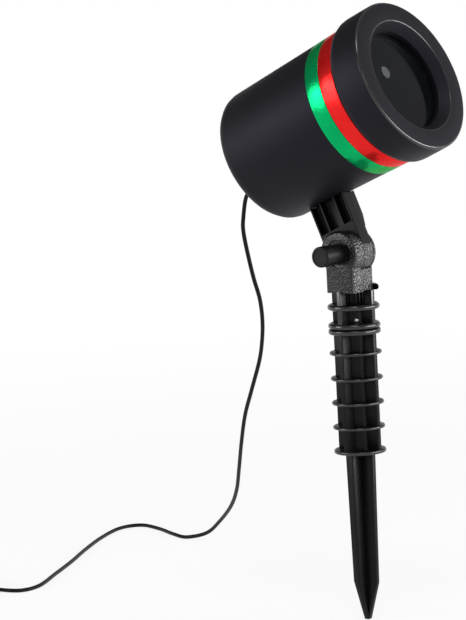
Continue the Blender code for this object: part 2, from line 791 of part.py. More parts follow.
def make_arm(head, black, steel):
    """The moulded arm: a round tongue in the fork and a ribbed neck, thicker above the fork's far ear."""
    half = ARM_THICKNESS / 2
    side, top = ARM_WIDTH / 2, AXIS_ABOVE_PIVOT - REAR_RADIUS + 0.0150
    outline = arc((0, 0), side, -180, 0, 16) + [(side, top), (-side, top)]
    arm = new_object("mounting_arm", slab(outline, -half, half, 0.0006), black, head)
    neck_foot, neck_side, neck_top = EAR_RADIUS + 0.0008, side - 0.0001, top - 0.0010
    neck = [(-neck_side, neck_foot), (neck_side, neck_foot), (neck_side, neck_top), (-neck_side, neck_top)]
    unite(arm, slab(neck, 0.0020, NECK_FAR, 0.0006))
    ends = (-ARM_WIDTH, ARM_WIDTH)
    housing = [(0, ends[0])] + [(shell_radius(along) + GAP, along) for along in ends] + [(0, ends[1])]
    cut(arm, along_beam(turned(housing, 2 * HOUSING_SIDES)))
    slots = []
    for middle in ARM_SLOTS:
        slots.append(box((-half - 0.002, middle - SLOT_HALF, 0.0165), (0.0005, middle + SLOT_HALF, 0.0400)))
    cut(arm, together(slots))
    holes = [rod((-0.02, 0, 0), (0.02, 0, 0), SCREW_RADIUS + GAP, FITTING_SIDES)]
    for along in ARM_SCREWS_ALONG:
        top = -FRONT_RADIUS + WALL
        holes.append(upright_rod(-0.0570, top, 0.0014, SCREW_SIDES, ARM_SCREW_ACROSS, along))
    cut(arm, together(holes))

    seat = -REAR_RADIUS + WALL
    profile = [
        (0, -0.0555),
        (0.0006, -0.0555),
        (0.0011, -0.0542),
        (0.0011, seat),
        (0.0026, seat),
        (0.0026, seat + 0.0011),
        (0.0016, seat + 0.0020),
        (0, seat + 0.0020),
    ]
    for number, along in enumerate(ARM_SCREWS_ALONG, 1):
        screw = standing(turned(profile, SCREW_SIDES), ARM_SCREW_ACROSS, along)
        new_object(f"arm_screw_{number}", screw, steel, head)


def plus_section(*levels):
    """Four fins in a plus that run through the radius given at each height, lowest first."""
    half = FIN_THICKNESS / 2
    bm = bmesh.new()
    loops = []
    for height, radius in levels:
        loop = []
        for quarter in range(4):
            turn = Matrix.Rotation(quarter * math.pi / 2, 3, "Z")
            for corner in ((radius, -half), (radius, half), (half, half)):
                loop.append(bm.verts.new(turn @ Vector((*corner, height))))
        loops.append(loop)
    for below, above in zip(loops, loops[1:]):
        for i in range(len(below)):
            j = (i + 1) % len(below)
            bm.faces.new((below[i], below[j], above[j], above[i]))
    bm.faces.new(reversed(loops[0]))
    bm.faces.new(loops[-1])
    return bm


def ringed(foot, rings):
    """Profile points of the round stake from its foot up, with a rounded rim at each ring's height."""
    points = [(0, foot)]
    for height, half, steps in rings:
        if height - half > foot + GAP:
            points.append((TUBE_RADIUS, height - half))
        points += arc((RING_RADIUS - half, height), half, -90, 90, steps)
        points.append((TUBE_RADIUS, height + half))
    return points


def hexagon(start, end, across_flats):
    return rod(start, end, across_flats / math.sqrt(3), 6)


def pin_point(outward):
    """A point on the retaining pin's level line, which comes out between the -X and -Y fins."""
    return Vector((-outward / math.sqrt(2), -outward / math.sqrt(2), PIN_HEIGHT))


def make_stake_head(black):
    """The upper stake moulding: a fork on a block, finned below, with a socket for the lower part.

    The top ring is left only beside the block's far face. The fork's slot is round in front, where
    the arm leans least, and flat behind, where the arm can lie down."""
    pivot = PIVOT_HEIGHT
    rings = [(height, UPPER_RING_HALF, 3) for height in UPPER_RINGS]
    inside_block = BLOCK_BOTTOM + 0.0060
    profile = ringed(STAKE_JOINT, rings) + [(TUBE_RADIUS, inside_block), (0, inside_block)]
    stake_head = new_object("stake_head", turned(profile, STAKE_SIDES), black)
    fins = plus_section((STAKE_JOINT + 0.0010, FIN_RADIUS), (BLOCK_BOTTOM + 0.0010, FIN_RADIUS))
    unite(stake_head, fins)
    far_side = FORK_FAR - 0.0004
    cut(stake_head, box((-0.03, -0.03, BLOCK_BOTTOM + 0.0002), (far_side, 0.03, inside_block + 0.001)))
    shoulder = math.degrees(math.acos(BLOCK_HALF_DEPTH / EAR_RADIUS))
    outline = arc((0, pivot), EAR_RADIUS, -shoulder, 180 + shoulder, 26)
    outline += [(-BLOCK_HALF_DEPTH, BLOCK_BOTTOM), (BLOCK_HALF_DEPTH, BLOCK_BOTTOM)]
    unite(stake_head, slab(outline, FORK_NEAR, FORK_FAR, 0.0008))
    unite(stake_head, rod((0, 0, pivot), (NUT_BOSS, 0, pivot), BOSS_RADIUS, STAKE_SIDES))
    cut(stake_head, rod((FORK_NEAR - 0.01, 0, pivot), (WASHER_SEAT, 0, pivot), BOSS_RADIUS, STAKE_SIDES))
    slot = ARM_THICKNESS / 2 + GAP
    slot_radius = EAR_RADIUS + 0.0006
    slot_outline = arc((0, pivot), slot_radius, -180, -90, 10)
    slot_outline += [(0.03, pivot - slot_radius), (0.03, pivot + 0.03), (-slot_radius, pivot + 0.03)]
    cut(stake_head, slab(slot_outline, -slot, slot, 0))
    socket_end = (0, 0, STAKE_JOINT + TENON_LENGTH + 0.0005)
    holes = [
        rod((-0.02, 0, pivot), (0.02, 0, pivot), SCREW_RADIUS + GAP, FITTING_SIDES),
        rod((0, 0, STAKE_JOINT - 0.01), socket_end, TENON_RADIUS + GAP, FITTING_SIDES),
    ]
    cut(stake_head, together(holes))
    pocket_ends = ((NUT_BOSS - NUT_POCKET, 0, pivot), (NUT_BOSS + 0.005, 0, pivot))
    cut(stake_head, hexagon(*pocket_ends, NUT_FLATS + 2 * GAP))
    cut(stake_head, rod(pin_point(-0.03), pin_point(0.03), PIN_RADIUS + GAP, SMALL_SIDES))


def make_stake_body(black, steel):
    """The lower stake moulding, ringed like a hose tail, with a tenon above and a socket below."""
    top = STAKE_JOINT - GAP
    rings = [(GROUND_FLANGE + GROUND_FLANGE_HALF, GROUND_FLANGE_HALF, 2)]
    rings += [(height, LOWER_RING_HALF, 2) for height in LOWER_RINGS]
    rings += [(top - JOINT_FLANGE_HALF, JOINT_FLANGE_HALF, 2)]
    tenon_top = STAKE_JOINT + TENON_LENGTH
    profile = ringed(GROUND_FLANGE, rings)[:-1] + [(TENON_RADIUS, top), (TENON_RADIUS, tenon_top), (0, tenon_top)]
    body = new_object("stake_body", turned(profile, STAKE_SIDES), black)
    unite(body, plus_section((GROUND_FLANGE + 0.0010, FIN_RADIUS - 0.0004), (top - 0.0010, FIN_RADIUS)))
    cut(body, rod(pin_point(-0.03), pin_point(0.03), PIN_RADIUS + GAP, SMALL_SIDES))
    half = SPIKE_TENON / 2 + GAP
    socket_top = GROUND_FLANGE + SPIKE_TENON_LENGTH + GAP
    cut(body, box((-half, -half, GROUND_FLANGE - 0.005), (half, half, socket_top)))
    proud = TUBE_RADIUS + 0.0008
    pin = rod(pin_point(-TUBE_RADIUS), pin_point(proud), PIN_RADIUS, SMALL_SIDES)
    new_object("joint_pin", pin, steel)


def make_spike(black):
    """The ground spike: four tapered fins that run to a blunt point, and a square tenon on top."""
    top = GROUND_FLANGE - GAP
    fins = plus_section((0.0, SPIKE_TIP_RADIUS), (SPIKE_SHOULDER, SPIKE_LOW_RADIUS), (top, SPIKE_RADIUS))
    spike = new_object("ground_spike", fins, black)
    half = SPIKE_TENON / 2
    unite(spike, box((-half, -half, top - 0.004), (half, half, top + SPIKE_TENON_LENGTH)))


def make_thumb_screw(black, steel):
    """The clamping knob moulded on its steel screw, the washer under it and the captive nut."""
    pivot = PIVOT_HEIGHT
    hole_ends = ((-0.03, 0, pivot), (0.03, 0, pivot))
    washer_face = WASHER_SEAT - GAP
    washer_back = washer_face - WASHER_THICKNESS
    washer_body = rod((washer_back, 0, pivot), (washer_face, 0, pivot), WASHER_RADIUS, FITTING_SIDES)
    washer = new_object("knob_washer", washer_body, black)
    cut(washer, rod(*hole_ends, SCREW_RADIUS + GAP, FITTING_SIDES))

    knob_base = washer_back - GAP
    length = knob_base - KNOB_END
    edge = 0.0012
    profile = [(SCREW_RADIUS + GAP, 0.0), (KNOB_RADIUS, 0.0)]
    profile += arc((KNOB_RADIUS - edge, length - edge), edge, 0, 90, 3)
    profile += [(0.0, length), (0.0, KNOB_BORE), (SCREW_RADIUS + GAP, KNOB_BORE)]
    knob = turned(profile, FITTING_SIDES)
    place = Matrix.Translation((knob_base, 0, pivot)) @ Matrix.Rotation(-math.pi / 2, 4, "Y")
    bmesh.ops.transform(knob, matrix=place, verts=knob.verts)
    new_object("thumb_knob", knob, black, None, (knob_base, 0, pivot))
    screw_start = knob_base - KNOB_BORE + GAP
    screw = rod((screw_start, 0, pivot), (NUT_BOSS - 0.0006, 0, pivot), SCREW_RADIUS, FITTING_SIDES)
    new_object("tilt_screw", screw, steel, None, (knob_base, 0, pivot))

    nut_inside = NUT_BOSS - NUT_POCKET + GAP
    nut_body = hexagon((nut_inside, 0, pivot), (nut_inside + 0.0028, 0, pivot), NUT_FLATS)
    nut = new_object("captive_nut", nut_body, steel)
    cut(nut, rod(*hole_ends, SCREW_RADIUS + GAP, FITTING_SIDES))


def smooth_curve(points):
    """Close points on a Catmull-Rom curve through the route's own points, and how many per span."""
    per_span = 24
    padded = [2 * points[0] - points[1]] + points + [2 * points[-1] - points[-2]]
    curve = []
    for before, start, end, after in zip(padded, padded[1:], padded[2:], padded[3:]):
        pull = 2 * before - 5 * start + 4 * end - after
        swing = 3 * start - before - 3 * end + after
        for i in range(per_span):
            t = i / per_span
            curve.append(start + 0.5 * ((end - before) * t + pull * t**2 + swing * t**3))
    return curve + [points[-1]], per_span


def evenly(curve, step):
    """Points about a step apart along close points, both ends kept."""
    length = path_length(curve)
    count = round(length / step)
    kept = [curve[0]]
    walked = 0.0
    for p, q in zip(curve, curve[1:]):
        piece = (q - p).length
        while len(kept) < count and walked + piece >= len(kept) * length / count:
            kept.append(p.lerp(q, (len(kept) * length / count - walked) / piece))
        walked += piece
    return kept + [curve[-1]]


def path_length(points):
    return sum((q - p).length for p, q in zip(points, points[1:]))


def tube(name, points, radius, mat, parent, resolution):
    """A round tube with filled ends along a polyline."""
    curve = bpy.data.curves.new(name, "CURVE")
    curve.dimensions = "3D"
    curve.bevel_depth = radius
    curve.bevel_resolution = resolution
    curve.use_fill_caps = True
    spline = curve.splines.new("POLY")
    spline.points.add(len(points) - 1)
    for point, place in zip(spline.points, points):
        point.co = (*place, 1.0)
    curve.materials.append(mat)
    obj = bpy.data.objects.new(name, curve)
    obj.parent = parent
    bpy.context.scene.collection.objects.link(obj)


def gland_exit():
    """Where the cord leaves the gland, and the way it points, in the world."""
    back = Vector((0, math.cos(HEAD_TILT), -math.sin(HEAD_TILT)))
    up = Vector((0, math.sin(HEAD_TILT), math.cos(HEAD_TILT)))
    gland_tip = up * (AXIS_ABOVE_PIVOT - GLAND_BELOW_AXIS) + back * (-REAR_FACE + GLAND_LENGTH + GAP)
    return Vector((0, 0, PIVOT_HEIGHT)) + gland_tip, back


def smooth_step(x):
    x = min(max(x, 0.0), 1.0)
    return x * x * (3 - 2 * x)


def coil_points():
    """The stored length: loops that spiral in and out by layers and climb as the spiral reverses."""
    per_layer = COIL_LOOPS / COIL_LAYERS
    width = per_layer * COIL_PITCH
    outer = COIL_MEAN_RADIUS + width / 2
    centre = Vector((*COIL_CENTRE, COIL_HEIGHT + CORD_RADIUS))
    points = []
    for i in range(COIL_LOOPS * POINTS_PER_LOOP + 1):
        turns = i / POINTS_PER_LOOP
        layer = min(int(turns / per_layer), COIL_LAYERS - 1)
        inward = turns / per_layer - layer
        radius = outer - width * (inward if layer % 2 == 0 else 1 - inward)
        reversals = [per_layer * (n + 1) for n in range(COIL_LAYERS - 1)]
        climbed = sum(smooth_step(2 * (turns - reversal) + 0.5) for reversal in reversals)
        angle = COIL_START + 2 * math.pi * turns
        round_centre = Vector((radius * math.cos(angle), radius * math.sin(angle), COIL_PITCH * climbed))
        points.append(centre + round_centre)
    return points


def least_self_gap(points, apart):
    """The least space between stretches of the cord that lie more than apart points from each other."""
    samples = []
    for p, q in zip(points, points[1:]):
        samples += [p, p.lerp(q, 0.5)]
    least = 1.0
    for i, p in enumerate(samples):
        for q in samples[i + 2 * apart :]:
            if abs(p.x - q.x) < 0.006 and abs(p.y - q.y) < 0.006:
                least = min(least, (p - q).length)
    return least - 2 * CORD_RADIUS


def make_cord(rubber, black, steel):
    """The cord: a hanging stretch, a stretch on the ground and the stored coil, then the connector."""
    coil = coil_points()
    straight = 2 * CORD_RADIUS
    way_in = (coil[1] - coil[0]).normalized()
    coil_entry = coil[0] - way_in * straight

    exit_point, back = gland_exit()
    route = [exit_point, exit_point + back * 0.0035]
    route += [Vector(point) for point in HANGING_ROUTE]
    first_on_ground = len(route)
    route += [Vector((x, y, CORD_RADIUS + 0.0001)) for x, y in GROUND_ROUTE]
    route += [coil_entry - way_in * (GAP + 2 * straight), coil_entry - way_in * GAP]
    curve, per_span = smooth_curve(route)
    join = first_on_ground * per_span
    hanging, ground = curve[: join + 1], curve[join:]
    ground[0] = ground[0] + (ground[1] - ground[0]).normalized() * GAP
    tube("supply_cord_hanging", evenly(hanging, CORD_STEP), CORD_RADIUS, rubber, None, 2)
    tube("supply_cord_ground", evenly(ground, CORD_STEP), CORD_RADIUS, rubber, None, 2)

    out = (coil[-1] - coil[-2]).normalized()
    level_out = Vector((out.x, out.y, 0)).normalized()
    drop = Vector((0, 0, CONNECTOR_RADIUS + 0.0002 - coil[-1].z))
    tail = []
    for share in (0.2, 0.4, 0.6, 0.8, 1.0):
        tail.append(coil[-1] + level_out * COIL_TAIL * share + drop * smooth_step(share))
    end = tail[-1] + level_out * straight
    wound = [coil_entry] + coil + tail + [end]
    tube("cord_coil", wound, CORD_RADIUS, rubber, None, 1)
    make_connector(end + level_out * GAP, level_out, black, steel)

    print(f"least gap between turns of the coil: {1000 * least_self_gap(wound, 8):.2f} mm")
    print(f"cord: {path_length(hanging):.3f} m hanging, {path_length(ground):.3f} m on the ground,")
    print(f"{path_length(wound):.3f} m wound")


def make_connector(start, way, black, steel):
    """The low-voltage connector on the cord's end: boot and body, a locking collar and a barrel."""
    body_end, collar_end = 0.0240, 0.0357
    body = [
        (0, 0),
        (CORD_RADIUS + 0.0008, 0),
        (0.0036, 0.0100),
        (0.0052, 0.0110),
        (0.0052, body_end),
        (0, body_end),
    ]
    collar_start = body_end + GAP
    collar = [
        (0.0039, collar_start),
        (0.0060, collar_start),
        (CONNECTOR_RADIUS, collar_start + 0.0007),
        (CONNECTOR_RADIUS, collar_end - 0.0007),
        (0.0060, collar_end),
        (0.0039, collar_end),
    ]
    barrel = [
        (0, collar_start),
        (0.0027, collar_start),
        (0.0027, 0.0340),
        (0.0012, 0.0340),
        (0.0012, 0.0290),
        (0, 0.0290),
    ]
    turn = Vector((0, 0, 1)).rotation_difference(way).to_matrix().to_4x4()
    for name, profile, mat in (
        ("connector_body", body, black),
        ("connector_collar", collar, black),
        ("connector_barrel", barrel, steel),
    ):
        bm = turned(profile, SMALL_SIDES)
        bmesh.ops.transform(bm, matrix=Matrix.Translation(start) @ turn, verts=bm.verts)
        new_object(name, bm, mat)


def make_ties(black):
    """Two ties round the coil's bundle, which also keep it off the ground by their own thickness."""
    half_width = COIL_LOOPS / COIL_LAYERS * COIL_PITCH / 2 + CORD_RADIUS + TIE_CLEARANCE
    low = COIL_HEIGHT - TIE_CLEARANCE
    high = COIL_HEIGHT + (COIL_LAYERS - 1) * COIL_PITCH + 2 * CORD_RADIUS + TIE_CLEARANCE
    outer_half, outer_low, outer_high = half_width + TIE_THICKNESS, low - TIE_THICKNESS, high + TIE_THICKNESS
    for number, angle in enumerate(TIE_ANGLES, 1):
        band = box((-outer_half, -TIE_WIDTH / 2, outer_low), (outer_half, TIE_WIDTH / 2, outer_high), 0.0005, 1)
        hole = box((-half_width, -TIE_WIDTH, low), (half_width, TIE_WIDTH, high))
        place = (
            Matrix.Translation((*COIL_CENTRE, 0))
            @ Matrix.Rotation(angle, 4, "Z")
            @ Matrix.Translation((COIL_MEAN_RADIUS, 0, 0))
        )
        for bm in (band, hole):
            bmesh.ops.transform(bm, matrix=place, verts=bm.verts)
        cut(new_object(f"coil_tie_{number}", band, black), hole)


def main():
    clear_scene()
    black = material("matte_black_abs", "232326", 0.62)
    textured = material("textured_black_nylon", "1C1C1E", 0.45)
    gloss_black = material("gloss_black_polypropylene", "151517", 0.25)
    green = material("green_foil", "00A04F", 0.3, 0.2)
    red = material("red_foil", "D8202A", 0.3, 0.2)
    glass = material("tinted_acrylic", "20262A", 0.05, 0.0, 0.5)
    film = material("grating_film", "8C9496", 0.2)
    rubber = material("black_pvc", "121213", 0.35)
    brass = material("brass", "B58E3C", 0.3, 1.0)
    aluminium = material("aluminium", "A8ABAE", 0.4, 1.0)
    steel = material("zinc_plated_steel", "9FA2A6", 0.3, 1.0)
    board_green = material("circuit_board", "1F5A35", 0.5)
    nylon = material("natural_nylon", "D8D6CC", 0.5)
    dull_red = material("red_insulation", "8E1B1B", 0.4)

    head = bpy.data.objects.new("head_pivot", None)
    head.location = (0, 0, PIVOT_HEIGHT)
    head.rotation_euler = (-HEAD_TILT, 0, 0)
    bpy.context.scene.collection.objects.link(head)

    make_housing(head, black)
    make_bands(head, green, red)
    make_bezel(head, black, rubber)
    make_window(head, glass, rubber, black, film)
    make_bench(head, aluminium, steel)
    make_lasers(head, brass, black, glass)
    make_driver(head, board_green, nylon, black, aluminium)
    make_gland(head, rubber)
    make_button(head, black, dull_red)
    make_sensor(head, glass, black)
    make_wires(head, rubber, dull_red)
    make_arm(head, black, steel)
    make_stake_head(textured)
    make_stake_body(gloss_black, steel)
    make_spike(gloss_black)
    make_thumb_screw(textured, steel)
    make_cord(rubber, black, steel)
    make_ties(black)


main()
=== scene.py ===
import json
import math

import bmesh
import bpy
from mathutils import Matrix, Quaternion, Vector

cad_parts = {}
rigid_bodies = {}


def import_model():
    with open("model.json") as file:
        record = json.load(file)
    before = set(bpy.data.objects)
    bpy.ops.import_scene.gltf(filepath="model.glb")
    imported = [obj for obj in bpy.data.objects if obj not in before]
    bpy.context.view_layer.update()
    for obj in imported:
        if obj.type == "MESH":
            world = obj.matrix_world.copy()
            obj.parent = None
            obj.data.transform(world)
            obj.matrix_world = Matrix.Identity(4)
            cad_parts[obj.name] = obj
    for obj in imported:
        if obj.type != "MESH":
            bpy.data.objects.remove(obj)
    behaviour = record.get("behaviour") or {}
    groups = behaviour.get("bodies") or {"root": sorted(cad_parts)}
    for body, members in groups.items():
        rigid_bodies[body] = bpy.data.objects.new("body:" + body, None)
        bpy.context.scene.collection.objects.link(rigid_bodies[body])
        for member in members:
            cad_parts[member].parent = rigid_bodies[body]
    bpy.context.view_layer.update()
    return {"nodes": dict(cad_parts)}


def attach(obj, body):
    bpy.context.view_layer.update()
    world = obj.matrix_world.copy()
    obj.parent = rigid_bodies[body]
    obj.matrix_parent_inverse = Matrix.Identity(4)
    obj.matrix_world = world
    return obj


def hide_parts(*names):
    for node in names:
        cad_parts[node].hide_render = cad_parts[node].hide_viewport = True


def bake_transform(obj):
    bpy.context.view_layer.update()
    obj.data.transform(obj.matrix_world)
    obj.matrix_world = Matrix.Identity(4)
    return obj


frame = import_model()
shown_objects = bpy.context.scene.collection.objects


# The camera stands 1.6 m from the stake, to its front left and a little below the housing.
# It looks slightly down with a long lens and a small roll, as the photograph was taken.
looking = Vector((0.777042, 0.619054, -0.113923))
roll = Quaternion((0, 0, 1), math.radians(-3.04))
camera_data = bpy.data.cameras.new("camera")
camera_data.sensor_width = 36.0
camera_data.lens = 147.86
camera_data.clip_start = 0.05
camera_data.clip_end = 20.0
camera = bpy.data.objects.new("camera", camera_data)
camera.location = (-1.290458, -0.931251, 0.384570)
camera.rotation_mode = "QUATERNION"
camera.rotation_quaternion = looking.to_track_quat("-Z", "Y") @ roll
shown_objects.link(camera)
bpy.context.scene.camera = camera


# The supply cord: a thin round lead with a soft PVC jacket, 2.8 mm thick and 2.9 m long.
# It leaves the head by its gland, hangs to the ground and runs off to the left. The length
# that a garden would use is wound in a neat coil.
cord_radius = 0.0014
head_tilt = math.radians(23.2)
pivot = Vector((0, 0, 0.235))
axis_above_pivot = 0.0800
rear_face = -0.0364
beam = Vector((0, -math.cos(head_tilt), math.sin(head_tilt)))
head_up = Vector((0, math.sin(head_tilt), math.cos(head_tilt)))
gland_below_axis = 0.0140
gland_length = 0.0100
gap = 0.0003
gland_middle = pivot + head_up * (axis_above_pivot - gland_below_axis)
cord_exit = gland_middle + beam * (rear_face - gland_length - gap)
hanging_points = (
    (0.000, 0.0760, 0.2742),
    (0.000, 0.0812, 0.2690),
    (0.001, 0.0850, 0.2560),
    (0.004, 0.0880, 0.2470),
    (0.011, 0.0910, 0.2320),
    (0.020, 0.0940, 0.2140),
    (0.028, 0.0960, 0.1990),
    (0.036, 0.1010, 0.1830),
    (0.043, 0.1080, 0.1670),
    (0.049, 0.1160, 0.1530),
    (0.057, 0.1300, 0.1320),
    (0.065, 0.1430, 0.1130),
    (0.077, 0.1570, 0.0910),
    (0.094, 0.1740, 0.0680),
    (0.109, 0.1890, 0.0500),
    (0.124, 0.2070, 0.0340),
    (0.140, 0.2310, 0.0180),
    (0.147, 0.2500, 0.0060),
    (0.145, 0.2680, 0.0016),
)
ground_points = (
    (0.150, 0.2850),
    (0.161, 0.3080),
    (0.166, 0.3300),
    (0.150, 0.3380),
    (0.117, 0.3280),
    (0.078, 0.3100),
    (0.043, 0.2920),
    (0.007, 0.2750),
    (-0.026, 0.2600),
    (-0.043, 0.2610),
    (-0.048, 0.2750),
    (-0.045, 0.2900),
)
coil_lift = 0.0018
coil_centre = Vector((-0.0700, 0.3100, coil_lift + cord_radius))
coil_start_angle = math.radians(2)
coil_loops = 16
coil_layers = 4
coil_radius = 0.0210
coil_pitch = 0.0034
points_per_loop = 18
loops_per_layer = coil_loops / coil_layers
layer_width = loops_per_layer * coil_pitch


def eased(share):
    """0 before 0 and 1 after 1, with a smooth rise between."""
    share = min(max(share, 0.0), 1.0)
    return share * share * (3 - 2 * share)


def coil_point(turns):
    """The cord's middle after so many turns: it spirals in and out, and climbs between its layers."""
    layer = min(int(turns / loops_per_layer), coil_layers - 1)
    inward = turns / loops_per_layer - layer
    spread = inward if layer % 2 == 0 else 1 - inward
    radius = coil_radius + layer_width * (0.5 - spread)
    climbed = sum(eased(2 * (turns - loops_per_layer * n) + 0.5) for n in range(1, coil_layers))
    angle = coil_start_angle + 2 * math.pi * turns
    return coil_centre + Vector((radius * math.cos(angle), radius * math.sin(angle), coil_pitch * climbed))


wound_points = [coil_point(i / points_per_loop) for i in range(coil_loops * points_per_loop + 1)]
way_in = (wound_points[1] - wound_points[0]).normalized()
coil_entry = wound_points[0] - way_in * 2 * cord_radius
way_out = wound_points[-1] - wound_points[-2]
way_out = Vector((way_out.x, way_out.y, 0)).normalized()
tail_length = 0.0300
connector_radius = 0.0065
connector_height = connector_radius + 0.0002
tail_drop = connector_height - wound_points[-1].z
tail_points = []
for share in (0.2, 0.4, 0.6, 0.8, 1.0):
    down = Vector((0, 0, tail_drop * eased(share)))
    tail_points.append(wound_points[-1] + way_out * tail_length * share + down)
cord_end = tail_points[-1] + way_out * 2 * cord_radius
straight_out = 0.0035
straight_in = 0.0059
lying_height = cord_radius + 0.0001
cord_points = [cord_exit, cord_exit - beam * straight_out]
cord_points += [Vector(point) for point in hanging_points]
cord_points += [Vector((x, y, lying_height)) for x, y in ground_points]
cord_points += [coil_entry - way_in * straight_in, coil_entry, *wound_points, *tail_points, cord_end]


def smooth_route(points, spacing):
    """Points a spacing apart on the smooth curve through a route's own points, and the curve's length."""
    padded = [2 * points[0] - points[1], *points, 2 * points[-1] - points[-2]]
    close = []
    for before, start, end, after in zip(padded, padded[1:], padded[2:], padded[3:]):
        for i in range(24):
            t = i / 24
            pull = 2 * before - 5 * start + 4 * end - after
            swing = 3 * start - before - 3 * end + after
            close.append(start + 0.5 * ((end - before) * t + pull * t**2 + swing * t**3))
    close.append(points[-1])
    kept, walked = [close[0]], 0.0
    for here, there in zip(close, close[1:]):
        step = (there - here).length
        while walked + step >= len(kept) * spacing:
            kept.append(here.lerp(there, (len(kept) * spacing - walked) / step))
        walked += step
    if (kept[-1] - close[-1]).length < spacing / 2:
        kept.pop()
    return kept + [close[-1]], walked


cord_route, cord_length = smooth_route(cord_points, 0.0022)


def tube_along(name, points, radius, resolution):
    """A round tube with closed ends that follows points, as a mesh."""
    line = bpy.data.curves.new(name, "CURVE")
    line.dimensions = "3D"
    line.bevel_depth = radius
    line.bevel_resolution = resolution
    line.use_fill_caps = True
    spline = line.splines.new("POLY")
    spline.points.add(len(points) - 1)
    for spot, place in zip(spline.points, points):
        spot.co = (*place, 1.0)
    guide = bpy.data.objects.new(name, line)
    shown_objects.link(guide)
    mesh = bpy.data.meshes.new_from_object(guide.evaluated_get(bpy.context.evaluated_depsgraph_get()))
    bpy.data.objects.remove(guide)
    mesh.shade_smooth()
    mesh.name = name
    tube = bpy.data.objects.new(name, mesh)
    shown_objects.link(tube)
    return tube


def linear(srgb_hex):
    """An sRGB hex colour as linear red, green, blue and alpha."""
    channels = [int(srgb_hex[i : i + 2], 16) / 255 for i in (0, 2, 4)]
    return [*(c / 12.92 if c <= 0.04045 else ((c + 0.055) / 1.055) ** 2.4 for c in channels), 1.0]


def add_node(tree, kind, settings=None, links=None):
    """Adds a node, sets its properties and inputs by name or number, and links outputs to its inputs."""
    node = tree.nodes.new(kind)
    for name, value in (settings or {}).items():
        if isinstance(name, str) and name not in node.inputs:
            setattr(node, name, value)
        else:
            node.inputs[name].default_value = value
    for name, output in (links or {}).items():
        tree.links.new(output, node.inputs[name])
    return node


def new_finish(name, colour, roughness=0.5, specular=0.5, metallic=0.0):
    """A material with its shader's main sockets set, and the coordinates that its patterns read."""
    finish = bpy.data.materials.new(name)
    finish.use_nodes = True
    tree = finish.node_tree
    shader = tree.nodes["Principled BSDF"]
    shader.inputs["Base Color"].default_value = linear(colour)
    shader.inputs["Roughness"].default_value = roughness
    shader.inputs["Specular IOR Level"].default_value = specular
    shader.inputs["Metallic"].default_value = metallic
    return finish, tree, shader, add_node(tree, "ShaderNodeTexCoord").outputs["Object"]


def raise_grain(tree, shader, spot, width, detail, strength, depth, distortion=0.0):
    """Adds bumps this wide and deep to a finish, over any that it has, and returns their pattern."""
    grain = add_node(
        tree,
        "ShaderNodeTexNoise",
        {"Scale": 1 / width, "Detail": detail, "Distortion": distortion},
        {"Vector": spot},
    )
    links = {"Height": grain.outputs["Fac"]}
    if shader.inputs["Normal"].is_linked:
        links["Normal"] = shader.inputs["Normal"].links[0].from_socket
    relief = add_node(tree, "ShaderNodeBump", {"Strength": strength, "Distance": depth}, links)
    tree.links.new(relief.outputs["Normal"], shader.inputs["Normal"])
    return grain.outputs["Fac"]


# Flexible PVC, extruded: a smooth, softly glossy jacket with long faint waves from the die.
pvc_jacket, tree, shader, spot = new_finish("extruded_black_pvc", "0D0D0E", roughness=0.4, specular=0.15)
raise_grain(tree, shader, spot, width=0.004, detail=2.0, strength=0.25, depth=0.0003)

supply_cord = tube_along("supply_cord", cord_route, cord_radius, 3)
supply_cord.data.materials.append(pvc_jacket)
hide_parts("supply_cord_hanging", "supply_cord_ground", "cord_coil")
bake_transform(supply_cord)


# The low-voltage connector on the cord's end: a moulded boot and body, a locking collar that
# turns on it, and a nickel-plated barrel inside the collar.
def laid_along(start, way):
    """Moves a body made round Z to a start point and lays it along a way."""
    return Matrix.Translation(start) @ Vector((0, 0, 1)).rotation_difference(way).to_matrix().to_4x4()


def round_off(bm, geom, rounding, segments, affect="EDGES"):
    """Rounds edges, or the corners of an outline, with an arc of so many segments."""
    bmesh.ops.bevel(
        bm,
        geom=geom,
        offset=rounding,
        offset_type="OFFSET",
        segments=segments,
        profile=0.5,
        affect=affect,
        material=-1,
    )


def lathe(profile, steps, place=None):
    """Spins corners (radius, height, rounding) round Z, closed at the axis or back on themselves."""
    bm = bmesh.new()
    corners = [bm.verts.new((radius, 0, height)) for radius, height, _ in profile]
    for pair in zip(corners, corners[1:]):
        bm.edges.new(pair)
    if profile[0][0] > 0 or profile[-1][0] > 0:
        bm.edges.new((corners[-1], corners[0]))
    for corner, (_, _, rounding) in zip(corners, profile):
        if rounding:
            round_off(bm, [corner], rounding, 4, "VERTICES")
    bmesh.ops.spin(
        bm,
        geom=bm.verts[:] + bm.edges[:],
        cent=(0, 0, 0),
        axis=(0, 0, 1),
        angle=2 * math.pi,
        steps=steps,
        use_merge=True,
    )
    bmesh.ops.remove_doubles(bm, verts=bm.verts, dist=1e-6)
    if place is not None:
        bmesh.ops.transform(bm, matrix=place, verts=bm.verts)
    return bm


def add_shape(name, bm, finish):
    """Makes the bmesh an object that is smooth but for its edges."""
    bmesh.ops.recalc_face_normals(bm, faces=bm.faces)
    mesh = bpy.data.meshes.new(name)
    bm.to_mesh(mesh)
    bm.free()
    mesh.shade_smooth()
    mesh.set_sharp_from_angle(angle=math.radians(34))
    mesh.materials.append(finish)
    shape = bpy.data.objects.new(name, mesh)
    shown_objects.link(shape)
    return shape


def add_piece(name, bm, finish, body, replaced):
    """Makes the bmesh a piece of the object, on its body and in the place of its CAD nodes."""
    piece = add_shape(name, bm, finish)
    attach(piece, body)
    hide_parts(*replaced)
    return piece


